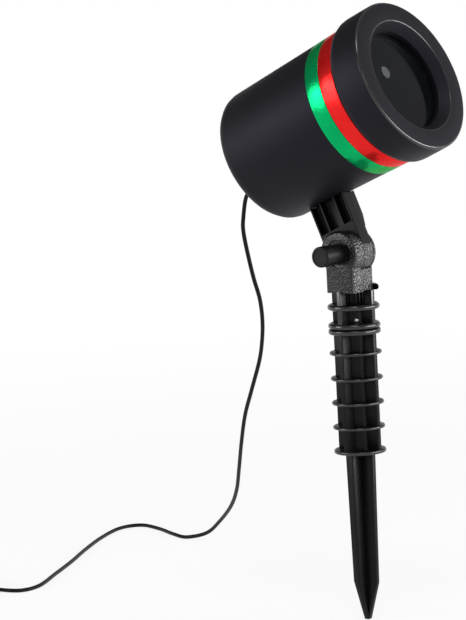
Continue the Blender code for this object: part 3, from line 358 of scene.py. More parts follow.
# Flexible moulded plastic: satin, with the fine even grain of a blasted mould.
satin_mould, tree, shader, spot = new_finish("satin_moulded_pvc", "18181A", specular=0.4)
raise_grain(tree, shader, spot, width=0.0006, detail=3.0, strength=0.3, depth=0.0001)

connector_place = laid_along(cord_end + way_out * gap, way_out)
boot_tip = 0.0022
boot_taper = 0.14
body_radius = 0.0052
body_end = 0.0240
boot_profile = [(0, 0, 0), (boot_tip, 0, 0.0004)]
for groove in (0.0020, 0.0038, 0.0056, 0.0074):
    width = boot_tip + boot_taper * groove
    boot_profile += [
        (width, groove, 0.0002),
        (width - 0.0006, groove + 0.0002, 0.0001),
        (width - 0.0006, groove + 0.0008, 0.0001),
        (width + 0.0001, groove + 0.0010, 0.0002),
    ]
boot_profile += [
    (0.0036, 0.0100, 0.0003),
    (body_radius, 0.0110, 0.0006),
    (body_radius, body_end, 0.0003),
    (0, body_end, 0),
]
connector_boot = add_piece(
    "connector_boot",
    lathe(boot_profile, 40, connector_place),
    satin_mould,
    "stake",
    ["connector_body"],
)

collar_start = body_end + gap
collar_end = 0.0357
collar_chamfer = 0.0005
collar_bore = 0.0039
collar_sides = 48
collar_profile = [
    (collar_bore, collar_start, 0.0002),
    (connector_radius - collar_chamfer, collar_start, 0),
    (connector_radius, 0.0250, 0),
    (connector_radius, 0.0350, 0),
    (connector_radius - collar_chamfer, collar_end, 0),
    (collar_bore, collar_end, 0.0002),
]
collar = lathe(collar_profile, collar_sides)


def is_groove(face):
    """Whether a face of the collar's grip is in a groove: two sides of every three are."""
    middle = face.calc_center_median()
    side = round(math.atan2(middle.y, middle.x) / (2 * math.pi / collar_sides) - 0.5)
    return middle.xy.length > connector_radius - 0.0001 and side % 3 != 0


grooves = [face for face in collar.faces if is_groove(face)]
bmesh.ops.inset_region(collar, faces=grooves, thickness=0.00012, depth=-0.0003)
bmesh.ops.transform(collar, matrix=connector_place, verts=collar.verts)
locking_collar = add_piece(
    "connector_locking_collar",
    collar,
    satin_mould,
    "stake",
    ["connector_collar"],
)

# Nickel-plated brass, turned: bright, with a faint unevenness from the tool.
nickel_plate, tree, shader, spot = new_finish("turned_nickel_plate", "B9B8B2", roughness=0.25, metallic=1.0)
raise_grain(tree, shader, spot, width=0.0005, detail=2.0, strength=0.15, depth=0.00005)

barrel_radius = 0.0027
barrel_bore = 0.0012
barrel_end = 0.0340
bore_bottom = 0.0290
barrel_profile = [
    (0, collar_start, 0),
    (barrel_radius, collar_start, 0),
    (barrel_radius, barrel_end, 0.0003),
    (barrel_bore, barrel_end, 0.0003),
    (barrel_bore, bore_bottom, 0),
    (0, bore_bottom, 0),
]
plug_barrel = add_piece(
    "connector_plug_barrel",
    lathe(barrel_profile, 32, connector_place),
    nickel_plate,
    "stake",
    ["connector_barrel"],
)


# Two releasable ties hold the coil's bundle. Each is a flat moulded strap, drawn tight through a
# small head that lies on top of the coil.
tie_width = 0.0040
tie_thickness = 0.0010
tie_slack = 0.0006
tie_head = (0.0056, 0.0050, 0.0014)
tie_inside = layer_width / 2 + cord_radius + tie_slack
tie_low = coil_lift - tie_slack
tie_high = coil_lift + (coil_layers - 1) * coil_pitch + 2 * cord_radius + tie_slack
for number, angle in enumerate((math.radians(110), math.radians(290)), 1):
    strap = bmesh.new()
    sides = ((-tie_inside, tie_low), (tie_inside, tie_low), (tie_inside, tie_high), (-tie_inside, tie_high))
    loop = [strap.verts.new((x, -tie_width / 2, z)) for x, z in sides]
    for start, end in zip(loop, loop[1:] + loop[:1]):
        strap.edges.new((start, end))
    round_off(strap, loop, 0.0011, 4, "VERTICES")
    pulled = bmesh.ops.extrude_edge_only(strap, edges=strap.edges[:])
    moved = [item for item in pulled["geom"] if isinstance(item, bmesh.types.BMVert)]
    bmesh.ops.translate(strap, verts=moved, vec=(0, tie_width, 0))
    bmesh.ops.recalc_face_normals(strap, faces=strap.faces)
    bmesh.ops.solidify(strap, geom=strap.faces[:], thickness=-tie_thickness)
    head = bmesh.ops.create_cube(strap, size=1.0)["verts"]
    bmesh.ops.scale(strap, vec=tie_head, verts=head)
    bmesh.ops.translate(strap, vec=(0.0030, 0, tie_high + 0.0012), verts=head)
    head_edges = list({edge for vert in head for edge in vert.link_edges})
    round_off(strap, head_edges, 0.0004, 2)
    place = (
        Matrix.Translation((coil_centre.x, coil_centre.y, 0))
        @ Matrix.Rotation(angle, 4, "Z")
        @ Matrix.Translation((coil_radius, 0, 0))
    )
    bmesh.ops.transform(strap, matrix=place, verts=strap.verts)
    tie = add_piece(
        f"coil_strap_{number}",
        strap,
        satin_mould,
        "stake",
        [f"coil_tie_{number}"],
    )


# A round white studio table with an upturned rim, far wider than the view and without a seam.
# It shows white to the camera, and near the stake it keeps some of the real surface, and with
# it the soft shadow of the object.
white_card, tree, shader, spot = new_finish("white_card", "F4F4F4", roughness=0.9)
away = add_node(tree, "ShaderNodeVectorMath", {"operation": "LENGTH"}, {0: spot})
whiteness = add_node(
    tree,
    "ShaderNodeMapRange",
    {"interpolation_type": "SMOOTHSTEP", "From Min": 0.3, "From Max": 1.6, "To Min": 0.86, "To Max": 1.0},
    {"Value": away.outputs["Value"]},
)
rays = add_node(tree, "ShaderNodeLightPath").outputs
seen = rays["Is Camera Ray"]
for ray in ("Is Glossy Ray", "Is Transmission Ray"):
    either = add_node(tree, "ShaderNodeMath", {"operation": "MAXIMUM"}, {0: seen, 1: rays[ray]})
    seen = either.outputs[0]
white_share = add_node(
    tree,
    "ShaderNodeMath",
    {"operation": "MULTIPLY"},
    {0: seen, 1: whiteness.outputs["Result"]},
)
glow = add_node(tree, "ShaderNodeEmission", {"Color": linear("FFFFFF"), "Strength": 1.0})
surface = add_node(
    tree,
    "ShaderNodeMixShader",
    links={0: white_share.outputs[0], 1: shader.outputs["BSDF"], 2: glow.outputs["Emission"]},
)
tree.links.new(surface.outputs["Shader"], tree.nodes["Material Output"].inputs["Surface"])
table_top = -0.0002
table_foot = -0.1
rim_height = 1.9
table_profile = [
    (0, table_top, 0),
    (5.5, table_top, 1.2),
    (7.0, rim_height, 0),
    (7.1, rim_height, 0),
    (5.6, table_foot, 0),
    (0, table_foot, 0),
]
add_shape("studio_table", lathe(table_profile, 128), white_card)


# Studio light: a pale room that is darker behind the object, a large softbox at its left that is
# brighter in its upper half and lights the foil bands, a broad one at the right for the fork, and
# small ones above and over the camera, which draw the thin lines along rounded edges.
world = bpy.data.worlds.new("pale_room")
world.use_nodes = True
tree = world.node_tree
toward = add_node(tree, "ShaderNodeTexCoord").outputs["Generated"]
behind = add_node(
    tree,
    "ShaderNodeVectorMath",
    {"operation": "DOT_PRODUCT", 1: (0.34, 0.94, 0.0)},
    {0: toward},
)
level = add_node(
    tree,
    "ShaderNodeMapRange",
    {"interpolation_type": "SMOOTHSTEP", "From Min": 0.2, "From Max": 0.9, "To Min": 0.45, "To Max": 0.1},
    {"Value": behind.outputs["Value"]},
)
tree.links.new(level.outputs["Result"], tree.nodes["Background"].inputs["Strength"])
tree.nodes["Background"].inputs["Color"].default_value = linear("FFFFFF")
bpy.context.scene.world = world
bpy.context.scene.view_settings.view_transform = "Standard"


def add_softbox(name, place, target, width, height, watts):
    """A rectangular lamp that faces a target and isn't seen itself."""
    lamp = bpy.data.lights.new(name, "AREA")
    lamp.shape = "RECTANGLE"
    lamp.size = width
    lamp.size_y = height
    lamp.energy = watts
    softbox = bpy.data.objects.new(name, lamp)
    softbox.location = place
    softbox.rotation_mode = "QUATERNION"
    softbox.rotation_quaternion = (Vector(target) - Vector(place)).to_track_quat("-Z", "Y")
    softbox.visible_camera = False
    shown_objects.link(softbox)


add_softbox("left_softbox", (-1.21, 1.05, 0.74), (0, 0, 0.31), 0.75, 0.40, 7)
add_softbox("left_lower_softbox", (-1.21, 1.05, 0.37), (0, 0, 0.31), 0.75, 0.30, 3.0)
add_softbox("right_softbox", (0.62, -1.45, 0.40), (0, 0, 0.20), 1.60, 0.50, 24)
add_softbox("top_softbox", (-0.5, -0.4, 1.9), (0, 0, 0.2), 0.45, 0.45, 8)
add_softbox("front_softbox", (-1.2, -1.28, 1.3), (0, 0, 0.30), 0.35, 0.35, 3)


# The ground spike is moulded in one piece: two crossed fins that taper to a blunt point,
# with a square tenon on top that is pushed up into the lower stake.
fin_thickness = 0.0033
ground_flange = 0.1079
spike_top = ground_flange - gap
spike_tip = 0.0017
spike_shoulder = 0.0089
shoulder_height = 0.0240
spike_half = 0.0105
tenon_side = 0.0080
tenon_length = 0.0200
tenon_sunk = 0.0040


def slab(corners, push, rounding, segments, past_angle=-1.0):
    """A slab from an outline of corners, pushed out one way, its edges past an angle rounded."""
    bm = bmesh.new()
    face = bm.faces.new([bm.verts.new(corner) for corner in corners])
    pushed = bmesh.ops.extrude_face_region(bm, geom=[face], use_keep_orig=True)
    moved = [item for item in pushed["geom"] if isinstance(item, bmesh.types.BMVert)]
    bmesh.ops.translate(bm, verts=moved, vec=push)
    if rounding:
        edges = [edge for edge in bm.edges if edge.calc_face_angle(0) > past_angle]
        round_off(bm, edges, rounding, segments)
    return bm


def crossed_fins(outline, rounding):
    """Two flat plates that cross on the stake's axis, each from an outline of (x, z) corners."""
    fins = []
    for turn in (0, math.pi / 2):
        corners = [(x, -fin_thickness / 2, z) for x, z in outline]
        fin = slab(corners, (0, fin_thickness, 0), rounding, 2)
        bmesh.ops.rotate(fin, verts=fin.verts, matrix=Matrix.Rotation(turn, 3, "Z"))
        bmesh.ops.recalc_face_normals(fin, faces=fin.faces)
        fins.append(fin)
    return fins


def gathered(shapes):
    """One bmesh that holds several shapes."""
    whole = bmesh.new()
    for shape in shapes:
        mesh = bpy.data.meshes.new("shape")
        shape.to_mesh(mesh)
        shape.free()
        whole.from_mesh(mesh)
        bpy.data.meshes.remove(mesh)
    return whole


def vary_gloss(tree, shader, spot, width, detail, patches, roughness):
    """Lets the gloss of a finish come and go in patches this wide, between two roughnesses."""
    cloud = add_node(tree, "ShaderNodeTexNoise", {"Scale": 1 / width, "Detail": detail}, {"Vector": spot})
    gloss = add_node(
        tree,
        "ShaderNodeMapRange",
        {"From Min": patches[0], "From Max": patches[1], "To Min": roughness[0], "To Max": roughness[1]},
        {"Value": cloud.outputs["Fac"]},
    )
    tree.links.new(gloss.outputs["Result"], shader.inputs["Roughness"])


# Polypropylene, moulded in a polished tool: black with a soft gloss, a faint orange peel and the
# light scuffs of handling, which break the gloss.
gloss_mould, tree, shader, spot = new_finish("gloss_moulded_polypropylene", "0B0B0C", specular=0.13)
raise_grain(tree, shader, spot, width=0.003, detail=2.0, strength=0.18, depth=0.0003)
vary_gloss(tree, shader, spot, width=0.012, detail=6.0, patches=(0.35, 0.75), roughness=(0.3, 0.45))

spike_outline = (
    (-spike_tip, 0.0),
    (spike_tip, 0.0),
    (spike_shoulder, shoulder_height),
    (spike_half, spike_top),
    (-spike_half, spike_top),
    (-spike_shoulder, shoulder_height),
)
tenon = bmesh.new()
bmesh.ops.create_cube(tenon, size=1.0)
bmesh.ops.scale(tenon, vec=(tenon_side, tenon_side, tenon_length), verts=tenon.verts)
bmesh.ops.translate(tenon, vec=(0, 0, spike_top + tenon_length / 2 - tenon_sunk), verts=tenon.verts)
add_piece(
    "spike",
    gathered([*crossed_fins(spike_outline, 0.00035), tenon]),
    gloss_mould,
    "stake",
    ["ground_spike"],
)


# The lower stake is one moulding: a core with four fins inside a row of thin round rings, a flange
# at ground level and a thicker flange at the joint, where its tenon enters the upper stake.
ring_radius = 0.0165
core_radius = 0.0080
fin_radius = 0.0154
fin_sunk = 0.0010
stake_joint = 0.1870
joint_top = stake_joint - gap
ring_heights = (0.1244, 0.1399, 0.1554, 0.1716)
ring_half = 0.0009
ring_rounding = 0.0007
flange_half = 0.0011
joint_half = 0.0015
stake_tenon = 0.0050
stake_tenon_top = 0.2050

# The same plastic, a little lighter and much glossier, laid on raised edges as a painted highlight: light
# runs along them as a thin line.
painted_highlight_edge, tree, shader, spot = new_finish("painted_highlight_plastic_edge", "121214", specular=0.6)
vary_gloss(tree, shader, spot, width=0.006, detail=4.0, patches=(0.3, 0.7), roughness=(0.16, 0.28))


def refinish(piece, finish, is_there):
    """Gives another finish to the faces of a piece that pass a test."""
    piece.data.materials.append(finish)
    for face in piece.data.polygons:
        if is_there(face):
            face.material_index = len(piece.data.materials) - 1


def fins_between(low, high):
    """The stake's crossed fins between two heights."""
    outline = ((-fin_radius, low), (fin_radius, low), (fin_radius, high), (-fin_radius, high))
    return crossed_fins(outline, 0.0003)


def ring_corners(middle, half, rounding):
    """Profile corners of one round ring that stands out from the stake's core."""
    return [
        (core_radius, middle - half, 0),
        (ring_radius, middle - half, rounding),
        (ring_radius, middle + half, rounding),
        (core_radius, middle + half, 0),
    ]


lower_profile = [(0, ground_flange, 0)]
lower_profile += ring_corners(ground_flange + flange_half, flange_half, ring_rounding)[1:]
for height in ring_heights:
    lower_profile += ring_corners(height, ring_half, ring_rounding)
lower_profile += ring_corners(joint_top - joint_half, joint_half, 0.0009)[:-1]
lower_profile += [
    (stake_tenon, joint_top, 0),
    (stake_tenon, stake_tenon_top, 0.0006),
    (0, stake_tenon_top, 0),
]
stake_lower = add_piece(
    "stake_lower",
    gathered([lathe(lower_profile, 96), *fins_between(ground_flange + fin_sunk, joint_top - fin_sunk)]),
    gloss_mould,
    "stake",
    ["stake_body"],
)
# The rims of the rings take the lighter, glossier plastic as a painted highlight.
refinish(stake_lower, painted_highlight_edge, lambda face: face.center.xy.length > ring_radius - ring_rounding)


# The upper stake is moulded with the fork: two round ears on a block, two beads and four fins
# below, and short snap ribs round the core over the joint. A third bead is left only beside the
# block's far face. A steel pin locks the two stakes.
block_bottom = 0.2104
block_half_depth = 0.0107
fork_near = -0.0138
fork_far = 0.0082
ear_radius = 0.0142
nut_boss = 0.0105
boss_radius = 0.0090
washer_seat = -0.0127
arm_thickness = 0.0100
screw_hole = 0.0033
upper_rings = (0.1889, 0.2008)
far_bead_height = 0.2125
bead_half = 0.0019
bead_rounding = 0.0018
snap_rib_low = (0.0060, -0.0006, 0.2024)
snap_rib_high = (0.0098, 0.0006, 0.2108)
past_fork = 0.0300


def carved(bm, cutter, operation="DIFFERENCE"):
    """The bmesh with another one cut out of it, or joined to it."""
    helpers = []
    for shape in (bm, cutter):
        bmesh.ops.recalc_face_normals(shape, faces=shape.faces)
        mesh = bpy.data.meshes.new("helper")
        shape.to_mesh(mesh)
        shape.free()
        helper = bpy.data.objects.new("helper", mesh)
        shown_objects.link(helper)
        helpers.append(helper)
    boolean = helpers[0].modifiers.new("boolean", "BOOLEAN")
    boolean.operation = operation
    boolean.solver = "EXACT"
    boolean.object = helpers[1]
    bpy.context.view_layer.update()
    evaluated = helpers[0].evaluated_get(bpy.context.evaluated_depsgraph_get())
    result = bmesh.new()
    result.from_mesh(evaluated.to_mesh())
    for helper in helpers:
        bpy.data.meshes.remove(helper.data)
    return result


def rounded_box(low, high, rounding):
    """A box between two corners with rounded edges."""
    bm = bmesh.new()
    bmesh.ops.create_cube(bm, size=1.0)
    low, high = Vector(low), Vector(high)
    bmesh.ops.scale(bm, vec=high - low, verts=bm.verts)
    bmesh.ops.translate(bm, vec=(low + high) / 2, verts=bm.verts)
    round_off(bm, bm.edges[:], rounding, 2)
    return bm


def side_slab(outline, near, far, rounding=0.0):
    """A slab across X from an outline of (y, z) points, with its two rims rounded."""
    return slab([(near, y, z) for y, z in outline], (far - near, 0, 0), rounding, 3, math.radians(40))


def kept_side(bm, place, way):
    """Cuts the bmesh by a plane, keeps what lies the way the plane faces, and closes the cut."""
    bmesh.ops.bisect_plane(
        bm,
        geom=bm.verts[:] + bm.edges[:] + bm.faces[:],
        plane_co=place,
        plane_no=way,
        clear_inner=True,
    )
    bmesh.ops.holes_fill(bm, edges=[edge for edge in bm.edges if edge.is_boundary], sides=0)


def arc_points(middle, radius, start, end, steps):
    """Points (across, up) on an arc between two angles in degrees."""
    angles = [math.radians(start + (end - start) * i / steps) for i in range(steps + 1)]
    return [(middle[0] + radius * math.cos(a), middle[1] + radius * math.sin(a)) for a in angles]


def disc_corners(radius, low, high, rounding=0.0):
    """Profile corners of a plain disc or rod between two heights, with its rims rounded."""
    return [(0, low, 0), (radius, low, rounding), (radius, high, rounding), (0, high, 0)]


def cross_rod(near, far, radius, steps, rounding=0.0):
    """A round rod along X at the height of the tilt screw."""
    place = Matrix.Translation((near, 0, pivot.z)) @ Matrix.Rotation(math.pi / 2, 4, "Y")
    return lathe(disc_corners(radius, 0, far - near, rounding), steps, place)


# Glass-filled nylon, moulded in a spark-eroded tool: a leathery grain about 1.3 mm across under a
# soft gloss. It is shallow on most sides and deep on the front one, where each hollow catches its
# own spark of light.
grained_finishes = []
for name, shine, depth in (("fine_grained_nylon", 0.35, 0.0003), ("deep_grained_nylon", 0.9, 0.0008)):
    finish, tree, shader, spot = new_finish(name, "141416", roughness=0.28, specular=shine)
    pits = add_node(
        tree,
        "ShaderNodeTexVoronoi",
        {"Scale": 1 / 0.0013, "feature": "SMOOTH_F1", "Smoothness": 0.4},
        {"Vector": spot},
    )
    leather = add_node(
        tree,
        "ShaderNodeBump",
        {"Strength": 0.8, "Distance": depth},
        {"Height": pits.outputs["Distance"]},
    )
    tree.links.new(leather.outputs["Normal"], shader.inputs["Normal"])
    raise_grain(tree, shader, spot, width=0.0009, detail=3.0, strength=0.5, depth=depth / 2)
    grained_finishes.append(finish)
fine_grained_nylon, deep_grained_nylon = grained_finishes

shoulder = math.degrees(math.acos(block_half_depth / ear_radius))
fork_outline = arc_points((0, pivot.z), ear_radius, -shoulder, 180 + shoulder, 48)
fork_outline += [(-block_half_depth, block_bottom - 0.003), (block_half_depth, block_bottom - 0.003)]
fork = side_slab(fork_outline, fork_near, fork_far, 0.0020)
kept_side(fork, (0, 0, block_bottom), (0, 0, 1))
slot_half = arm_thickness / 2 + gap
slot_radius = ear_radius + 0.0006
slot_outline = arc_points((0, pivot.z), slot_radius, -180, -90, 24)
slot_outline += [
    (past_fork, pivot.z - slot_radius),
    (past_fork, pivot.z + past_fork),
    (-slot_radius, pivot.z + past_fork),
]
fork = carved(fork, side_slab(slot_outline, -slot_half, slot_half))
washer_recess = [
    (0, past_fork, 0),
    (boss_radius, past_fork, 0),
    (boss_radius, -washer_seat, 0.0003),
    (0, -washer_seat, 0),
]
to_near_side = Matrix.Translation((0, 0, pivot.z)) @ Matrix.Rotation(-math.pi / 2, 4, "Y")
fork = carved(fork, lathe(washer_recess, 72, to_near_side))
fork = carved(fork, cross_rod(-past_fork, past_fork, screw_hole, 32))
nut_pocket = 0.0061
boss_root = 0.0010 - fork_far
nut_boss_profile = [
    (nut_pocket, boss_root, 0),
    (boss_radius, boss_root, 0),
    (boss_radius, -nut_boss, 0.0006),
    (nut_pocket, -nut_boss, 0.0002),
]
stake_fork = add_piece(
    "stake_fork",
    gathered([fork, lathe(nut_boss_profile, 64, to_near_side)]),
    fine_grained_nylon,
    "stake",
    ["stake_head"],
)
refinish(stake_fork, deep_grained_nylon, lambda face: face.normal.y < -0.5)

upper_profile = [(0, stake_joint, 0)] + ring_corners(upper_rings[0], bead_half, bead_rounding)[1:]
upper_profile += ring_corners(upper_rings[1], bead_half, bead_rounding)
upper_profile += [(core_radius, block_bottom + 0.0040, 0), (0, block_bottom + 0.0040, 0)]
snap_ribs = []
for quarter in range(4):
    for step in range(-2, 3):
        rib = rounded_box(snap_rib_low, snap_rib_high, 0.0003)
        turn = math.radians(45 + 90 * quarter + 15 * step)
        bmesh.ops.rotate(rib, verts=rib.verts, matrix=Matrix.Rotation(turn, 3, "Z"))
        snap_ribs.append(rib)
bead_ends = (far_bead_height - bead_half, far_bead_height + bead_half)
far_bead = lathe(disc_corners(ring_radius, *bead_ends, bead_rounding), 96)
kept_side(far_bead, (fork_far - 0.0004, 0, 0), (1, 0, 0))
upper_fins = fins_between(stake_joint + fin_sunk, block_bottom + fin_sunk)
stake_upper = add_piece(
    "stake_upper",
    gathered([lathe(upper_profile, 96), *upper_fins, *snap_ribs, far_bead]),
    gloss_mould,
    "stake",
    [],
)
# The rims of the beads take the lighter, glossier plastic as a painted highlight.
refinish(stake_upper, painted_highlight_edge, lambda face: face.center.xy.length > ring_radius - 0.0015)

# Zinc-plated steel: a grey bright metal with the faint cloudiness of the plating.
zinc_plate, tree, shader, spot = new_finish("zinc_plated_steel", "A9ACB0", metallic=1.0)
vary_gloss(tree, shader, spot, width=0.002, detail=4.0, patches=(0.3, 0.7), roughness=(0.24, 0.42))

pin_radius = 0.0013
pin_reach = 0.0088
pin_height = 0.1926
pin_place = laid_along((0, 0, pin_height), Vector((-1, -1, 0)).normalized())
pin_profile = [
    (0, -core_radius, 0),
    (pin_radius, -core_radius, 0.0002),
    (pin_radius, pin_reach, 0.0005),
    (0, pin_reach, 0),
]
pin = lathe(pin_profile, 32, pin_place)
add_piece("retaining_pin", pin, zinc_plate, "stake", ["joint_pin"])

nut_across_flats = 0.0100
nut_thickness = 0.0028
nut_middle = 0.0087
nut = bmesh.new()
bmesh.ops.create_cone(
    nut,
    cap_ends=True,
    segments=6,
    radius1=nut_across_flats / math.sqrt(3),
    radius2=nut_across_flats / math.sqrt(3),
    depth=nut_thickness,
    matrix=Matrix.Translation((nut_middle, 0, pivot.z)) @ Matrix.Rotation(math.pi / 2, 4, "Y"),
)
round_off(nut, nut.edges[:], 0.0003, 2)
nut = carved(nut, cross_rod(-past_fork, past_fork, screw_hole, 32))
add_piece("hex_nut", nut, zinc_plate, "stake", ["captive_nut"])


# The mounting arm is moulded: a round tongue that turns in the fork, and a broad neck with three
# deep slots and two thin ribs in its near side. It is cradled to the housing and held by two
# screws from inside it.
arm_width = 0.0284
neck_foot = 0.0115
neck_outer = 0.0075
slot_foot = 0.0165
slot_bottom = 0.0005
slot_top = 0.0400
slot_sides = ((-0.0129, -0.0065), (-0.0055, 0.0050), (0.0060, 0.0129))
ribs_within = 0.0070
rear_radius = 0.0438
front_radius = 0.0460
shell_front = 0.0665
head_place = Matrix.Translation(pivot) @ Matrix.Rotation(-head_tilt, 4, "X")


def beam_place(above=0.0):
    """Lays a body made round Z along the beam, with its heights counted from the tilt screw."""
    axis = Matrix.Translation((0, 0, axis_above_pivot + above))
    return head_place @ axis @ Matrix.Rotation(math.pi / 2, 4, "X")


def add_turned(name, corners, sides, finish, node, above=0.0):
    """Adds a turned piece to the head for one solid, its axis this far above the beam."""
    return add_piece(name, lathe(corners, sides, beam_place(above)), finish, "head", [node])


def outside_radius(along):
    """The drafted housing's radius at a distance along the beam."""
    return rear_radius + (front_radius - rear_radius) * (along - rear_face) / (shell_front - rear_face)


# ABS, moulded in a lightly eroded tool: matt near-black with a very fine grain, so that light
# spreads over it in one broad faintly blue sheen.
matte_mould, tree, shader, spot = new_finish("matte_moulded_abs", "0C0C0F", roughness=0.52, specular=0.18)
shader.inputs["Specular Tint"].default_value = linear("E2E0FF")
grain = raise_grain(tree, shader, spot, width=0.0007, detail=4.0, strength=0.3, depth=0.00015)
tones = {"data_type": "RGBA", 6: linear("0C0C0F"), 7: linear("131317")}
tone = add_node(tree, "ShaderNodeMix", tones, {0: grain})
tree.links.new(tone.outputs[2], shader.inputs["Base Color"])

# The arm and the knob come from a smoother tool: dark satin, which leaves the slots black.
satin_mould_abs, tree, shader, spot = new_finish("satin_moulded_abs", "0A0A0C", roughness=0.45, specular=0.2)
raise_grain(tree, shader, spot, width=0.0010, detail=3.0, strength=0.25, depth=0.0001)

arm_half = arm_thickness / 2
arm_side = arm_width / 2
arm_top = axis_above_pivot - rear_radius + 0.0150
arm_outline = arc_points((0, 0), arm_side, -180, 0, 40) + [(arm_side, arm_top), (-arm_side, arm_top)]
arm = side_slab(arm_outline, -arm_half, arm_half, 0.0006)
neck_side = arm_side - 0.0001
neck_top = arm_top - 0.001
neck_outline = arc_points((0, 0), ear_radius + 0.0008, 50, 130, 40)
neck_outline += [
    (-neck_side, neck_foot),
    (-neck_side, neck_top),
    (neck_side, neck_top),
    (neck_side, neck_foot),
]
neck = side_slab(neck_outline, 0.0020, neck_outer, 0.0003)
kept_side(neck, (arm_half + gap, 0, neck_foot), Vector((-0.0085, 0, 0.0022)).normalized())
arm = carved(arm, neck, "UNION")
cradle_length = 0.05
cradle = lathe(
    [
        (0, -cradle_length, 0),
        (outside_radius(-cradle_length) + gap, -cradle_length, 0),
        (outside_radius(cradle_length) + gap, cradle_length, 0),
        (0, cradle_length, 0),
    ],
    160,
    Matrix.Translation((0, 0, axis_above_pivot)) @ Matrix.Rotation(math.pi / 2, 4, "X"),
)
arm = carved(arm, cradle)
for start, end in slot_sides:
    slot = rounded_box((-arm_half - 0.002, start, slot_foot), (slot_bottom, end, slot_top), 0.0004)
    arm = carved(arm, slot)
arm_hole = lathe(disc_corners(screw_hole, -0.02, 0.02), 32, Matrix.Rotation(math.pi / 2, 4, "Y"))
arm = carved(arm, arm_hole)
bmesh.ops.transform(arm, matrix=head_place, verts=arm.verts)
tilt_arm = add_piece("tilt_arm", arm, satin_mould_abs, "head", ["mounting_arm"])


def on_rib_edge(face):
    """Whether a face of the arm is on the near edge of one of its two ribs."""
    local = head_place.inverted() @ face.center
    return local.x < 0.0004 - arm_half and local.z > slot_foot + 0.0005 and abs(local.y) < ribs_within


def on_tongue_front(face):
    """Whether a face of the arm is on the front of the tongue, between the fork's ears."""
    return face.normal.y < -0.5 and face.center.z < pivot.z + 0.009


# The near edges of the ribs take the lighter, glossier plastic as a painted highlight.
refinish(tilt_arm, painted_highlight_edge, on_rib_edge)
refinish(tilt_arm, deep_grained_nylon, on_tongue_front)


# The clamp: a moulded knob on an M6 screw, with a flat plastic washer under it in the fork's
# recess. Turning the knob pinches the fork on the arm's tongue.
knob_base = -0.0143
knob_end = -0.0332
knob_length = knob_base - knob_end
knob_inner = 0.0062
knob_outer = 0.0066
knob_bore = 0.0125
dish_radius = 0.0047
dish_depth = 0.0004
screw_radius = 0.0030
washer_radius = 0.0068
washer_thickness = 0.0010
washer_profile = [
    (screw_hole, 0, 0),
    (washer_radius, 0, 0.0002),
    (washer_radius, washer_thickness, 0.0002),
    (screw_hole, washer_thickness, 0),
]
washer_place = Matrix.Translation((washer_seat - gap, 0, pivot.z)) @ Matrix.Rotation(-math.pi / 2, 4, "Y")
add_piece(
    "clamp_washer_ring",
    lathe(washer_profile, 48, washer_place),
    matte_mould,
    "stake",
    ["knob_washer"],
)

knob_place = Matrix.Translation((knob_base, 0, pivot.z)) @ Matrix.Rotation(-math.pi / 2, 4, "Y")
knob_profile = [
    (screw_hole, 0, 0),
    (knob_inner, 0, 0.0003),
    (knob_outer, knob_length, 0.0013),
    (dish_radius, knob_length, 0.0004),
    (dish_radius - 0.0003, knob_length - dish_depth, 0.0002),
    (0, knob_length - dish_depth, 0),
    (0, knob_bore, 0),
    (screw_hole, knob_bore, 0),
]
knob = lathe(knob_profile, 64, knob_place)
add_piece("clamp_knob", knob, satin_mould_abs, "thumb_screw", ["thumb_knob"])
screw_start = knob_base - knob_bore + gap
screw = cross_rod(screw_start, nut_boss - 0.0006, screw_radius, 40, 0.0004)
add_piece("clamp_screw", screw, zinc_plate, "thumb_screw", ["tilt_screw"])


# The housing shell: one deep drafted cup, moulded closed and rounded at the rear, with a
# shallow groove round its mouth for the two bands and three holes behind for the fittings.
wall = 0.0025
band_rear = 0.0442
band_groove = 0.0005
shell_profile = [
    (0, rear_face, 0),
    (rear_radius, rear_face, 0.0080),
    (outside_radius(band_rear - gap), band_rear - gap, 0.0001),
    (outside_radius(band_rear - gap) - band_groove, band_rear - gap, 0),
    (front_radius - band_groove, shell_front, 0),
    (front_radius - wall, shell_front, 0),
    (rear_radius - wall, rear_face + wall, 0.0055),
    (0, rear_face + wall, 0),
]
shell = lathe(shell_profile, 160, beam_place())
button_above = 0.0060
sensor_above = 0.0260
for above, radius in ((-gland_below_axis, 0.0035), (button_above, 0.0073), (sensor_above, 0.0033)):
    hole = disc_corners(radius, rear_face - 0.01, rear_face + wall + 0.001)
    shell = carved(shell, lathe(hole, 48, beam_place(above)))
add_piece("housing_cup", shell, matte_mould, "head", ["housing_shell"])


# The two bands are self-adhesive metallised foil, green behind red, each wrapped once round the
# shell in its groove. The foil shines softly, and small creases break the light along it.
band_width = 0.0111
foil_proud = 0.00015
for name, node, rear, colour, deep in (
    ("green_foil_band", "green_band", band_rear, "08B86A", "069A56"),
    ("red_foil_band", "red_band", band_rear + band_width, "EE2C2B", "D81F1E"),
):
    foil, tree, shader, spot = new_finish(f"{name}_finish", colour, roughness=0.22, metallic=0.7)
    shader.inputs["Specular Tint"].default_value = linear(colour)
    rolled = raise_grain(tree, shader, spot, width=0.009, detail=3.0, strength=0.1, depth=0.0006)
    raise_grain(tree, shader, spot, width=0.005, detail=1.0, strength=0.18, depth=0.0006, distortion=1.5)
    tones = {"data_type": "RGBA", 6: linear(deep), 7: linear(colour)}
    tone = add_node(tree, "ShaderNodeMix", tones, {0: rolled})
    tree.links.new(tone.outputs[2], shader.inputs["Base Color"])
    front = rear + band_width - gap
    foil_profile = [
        (outside_radius(rear) - band_groove + gap, rear, 0),
        (outside_radius(rear) + foil_proud, rear, 0.00012),
        (outside_radius(front) + foil_proud, front, 0.00012),
        (outside_radius(front) - band_groove + gap, front, 0),
    ]
    add_turned(name, foil_profile, 160, foil, node)


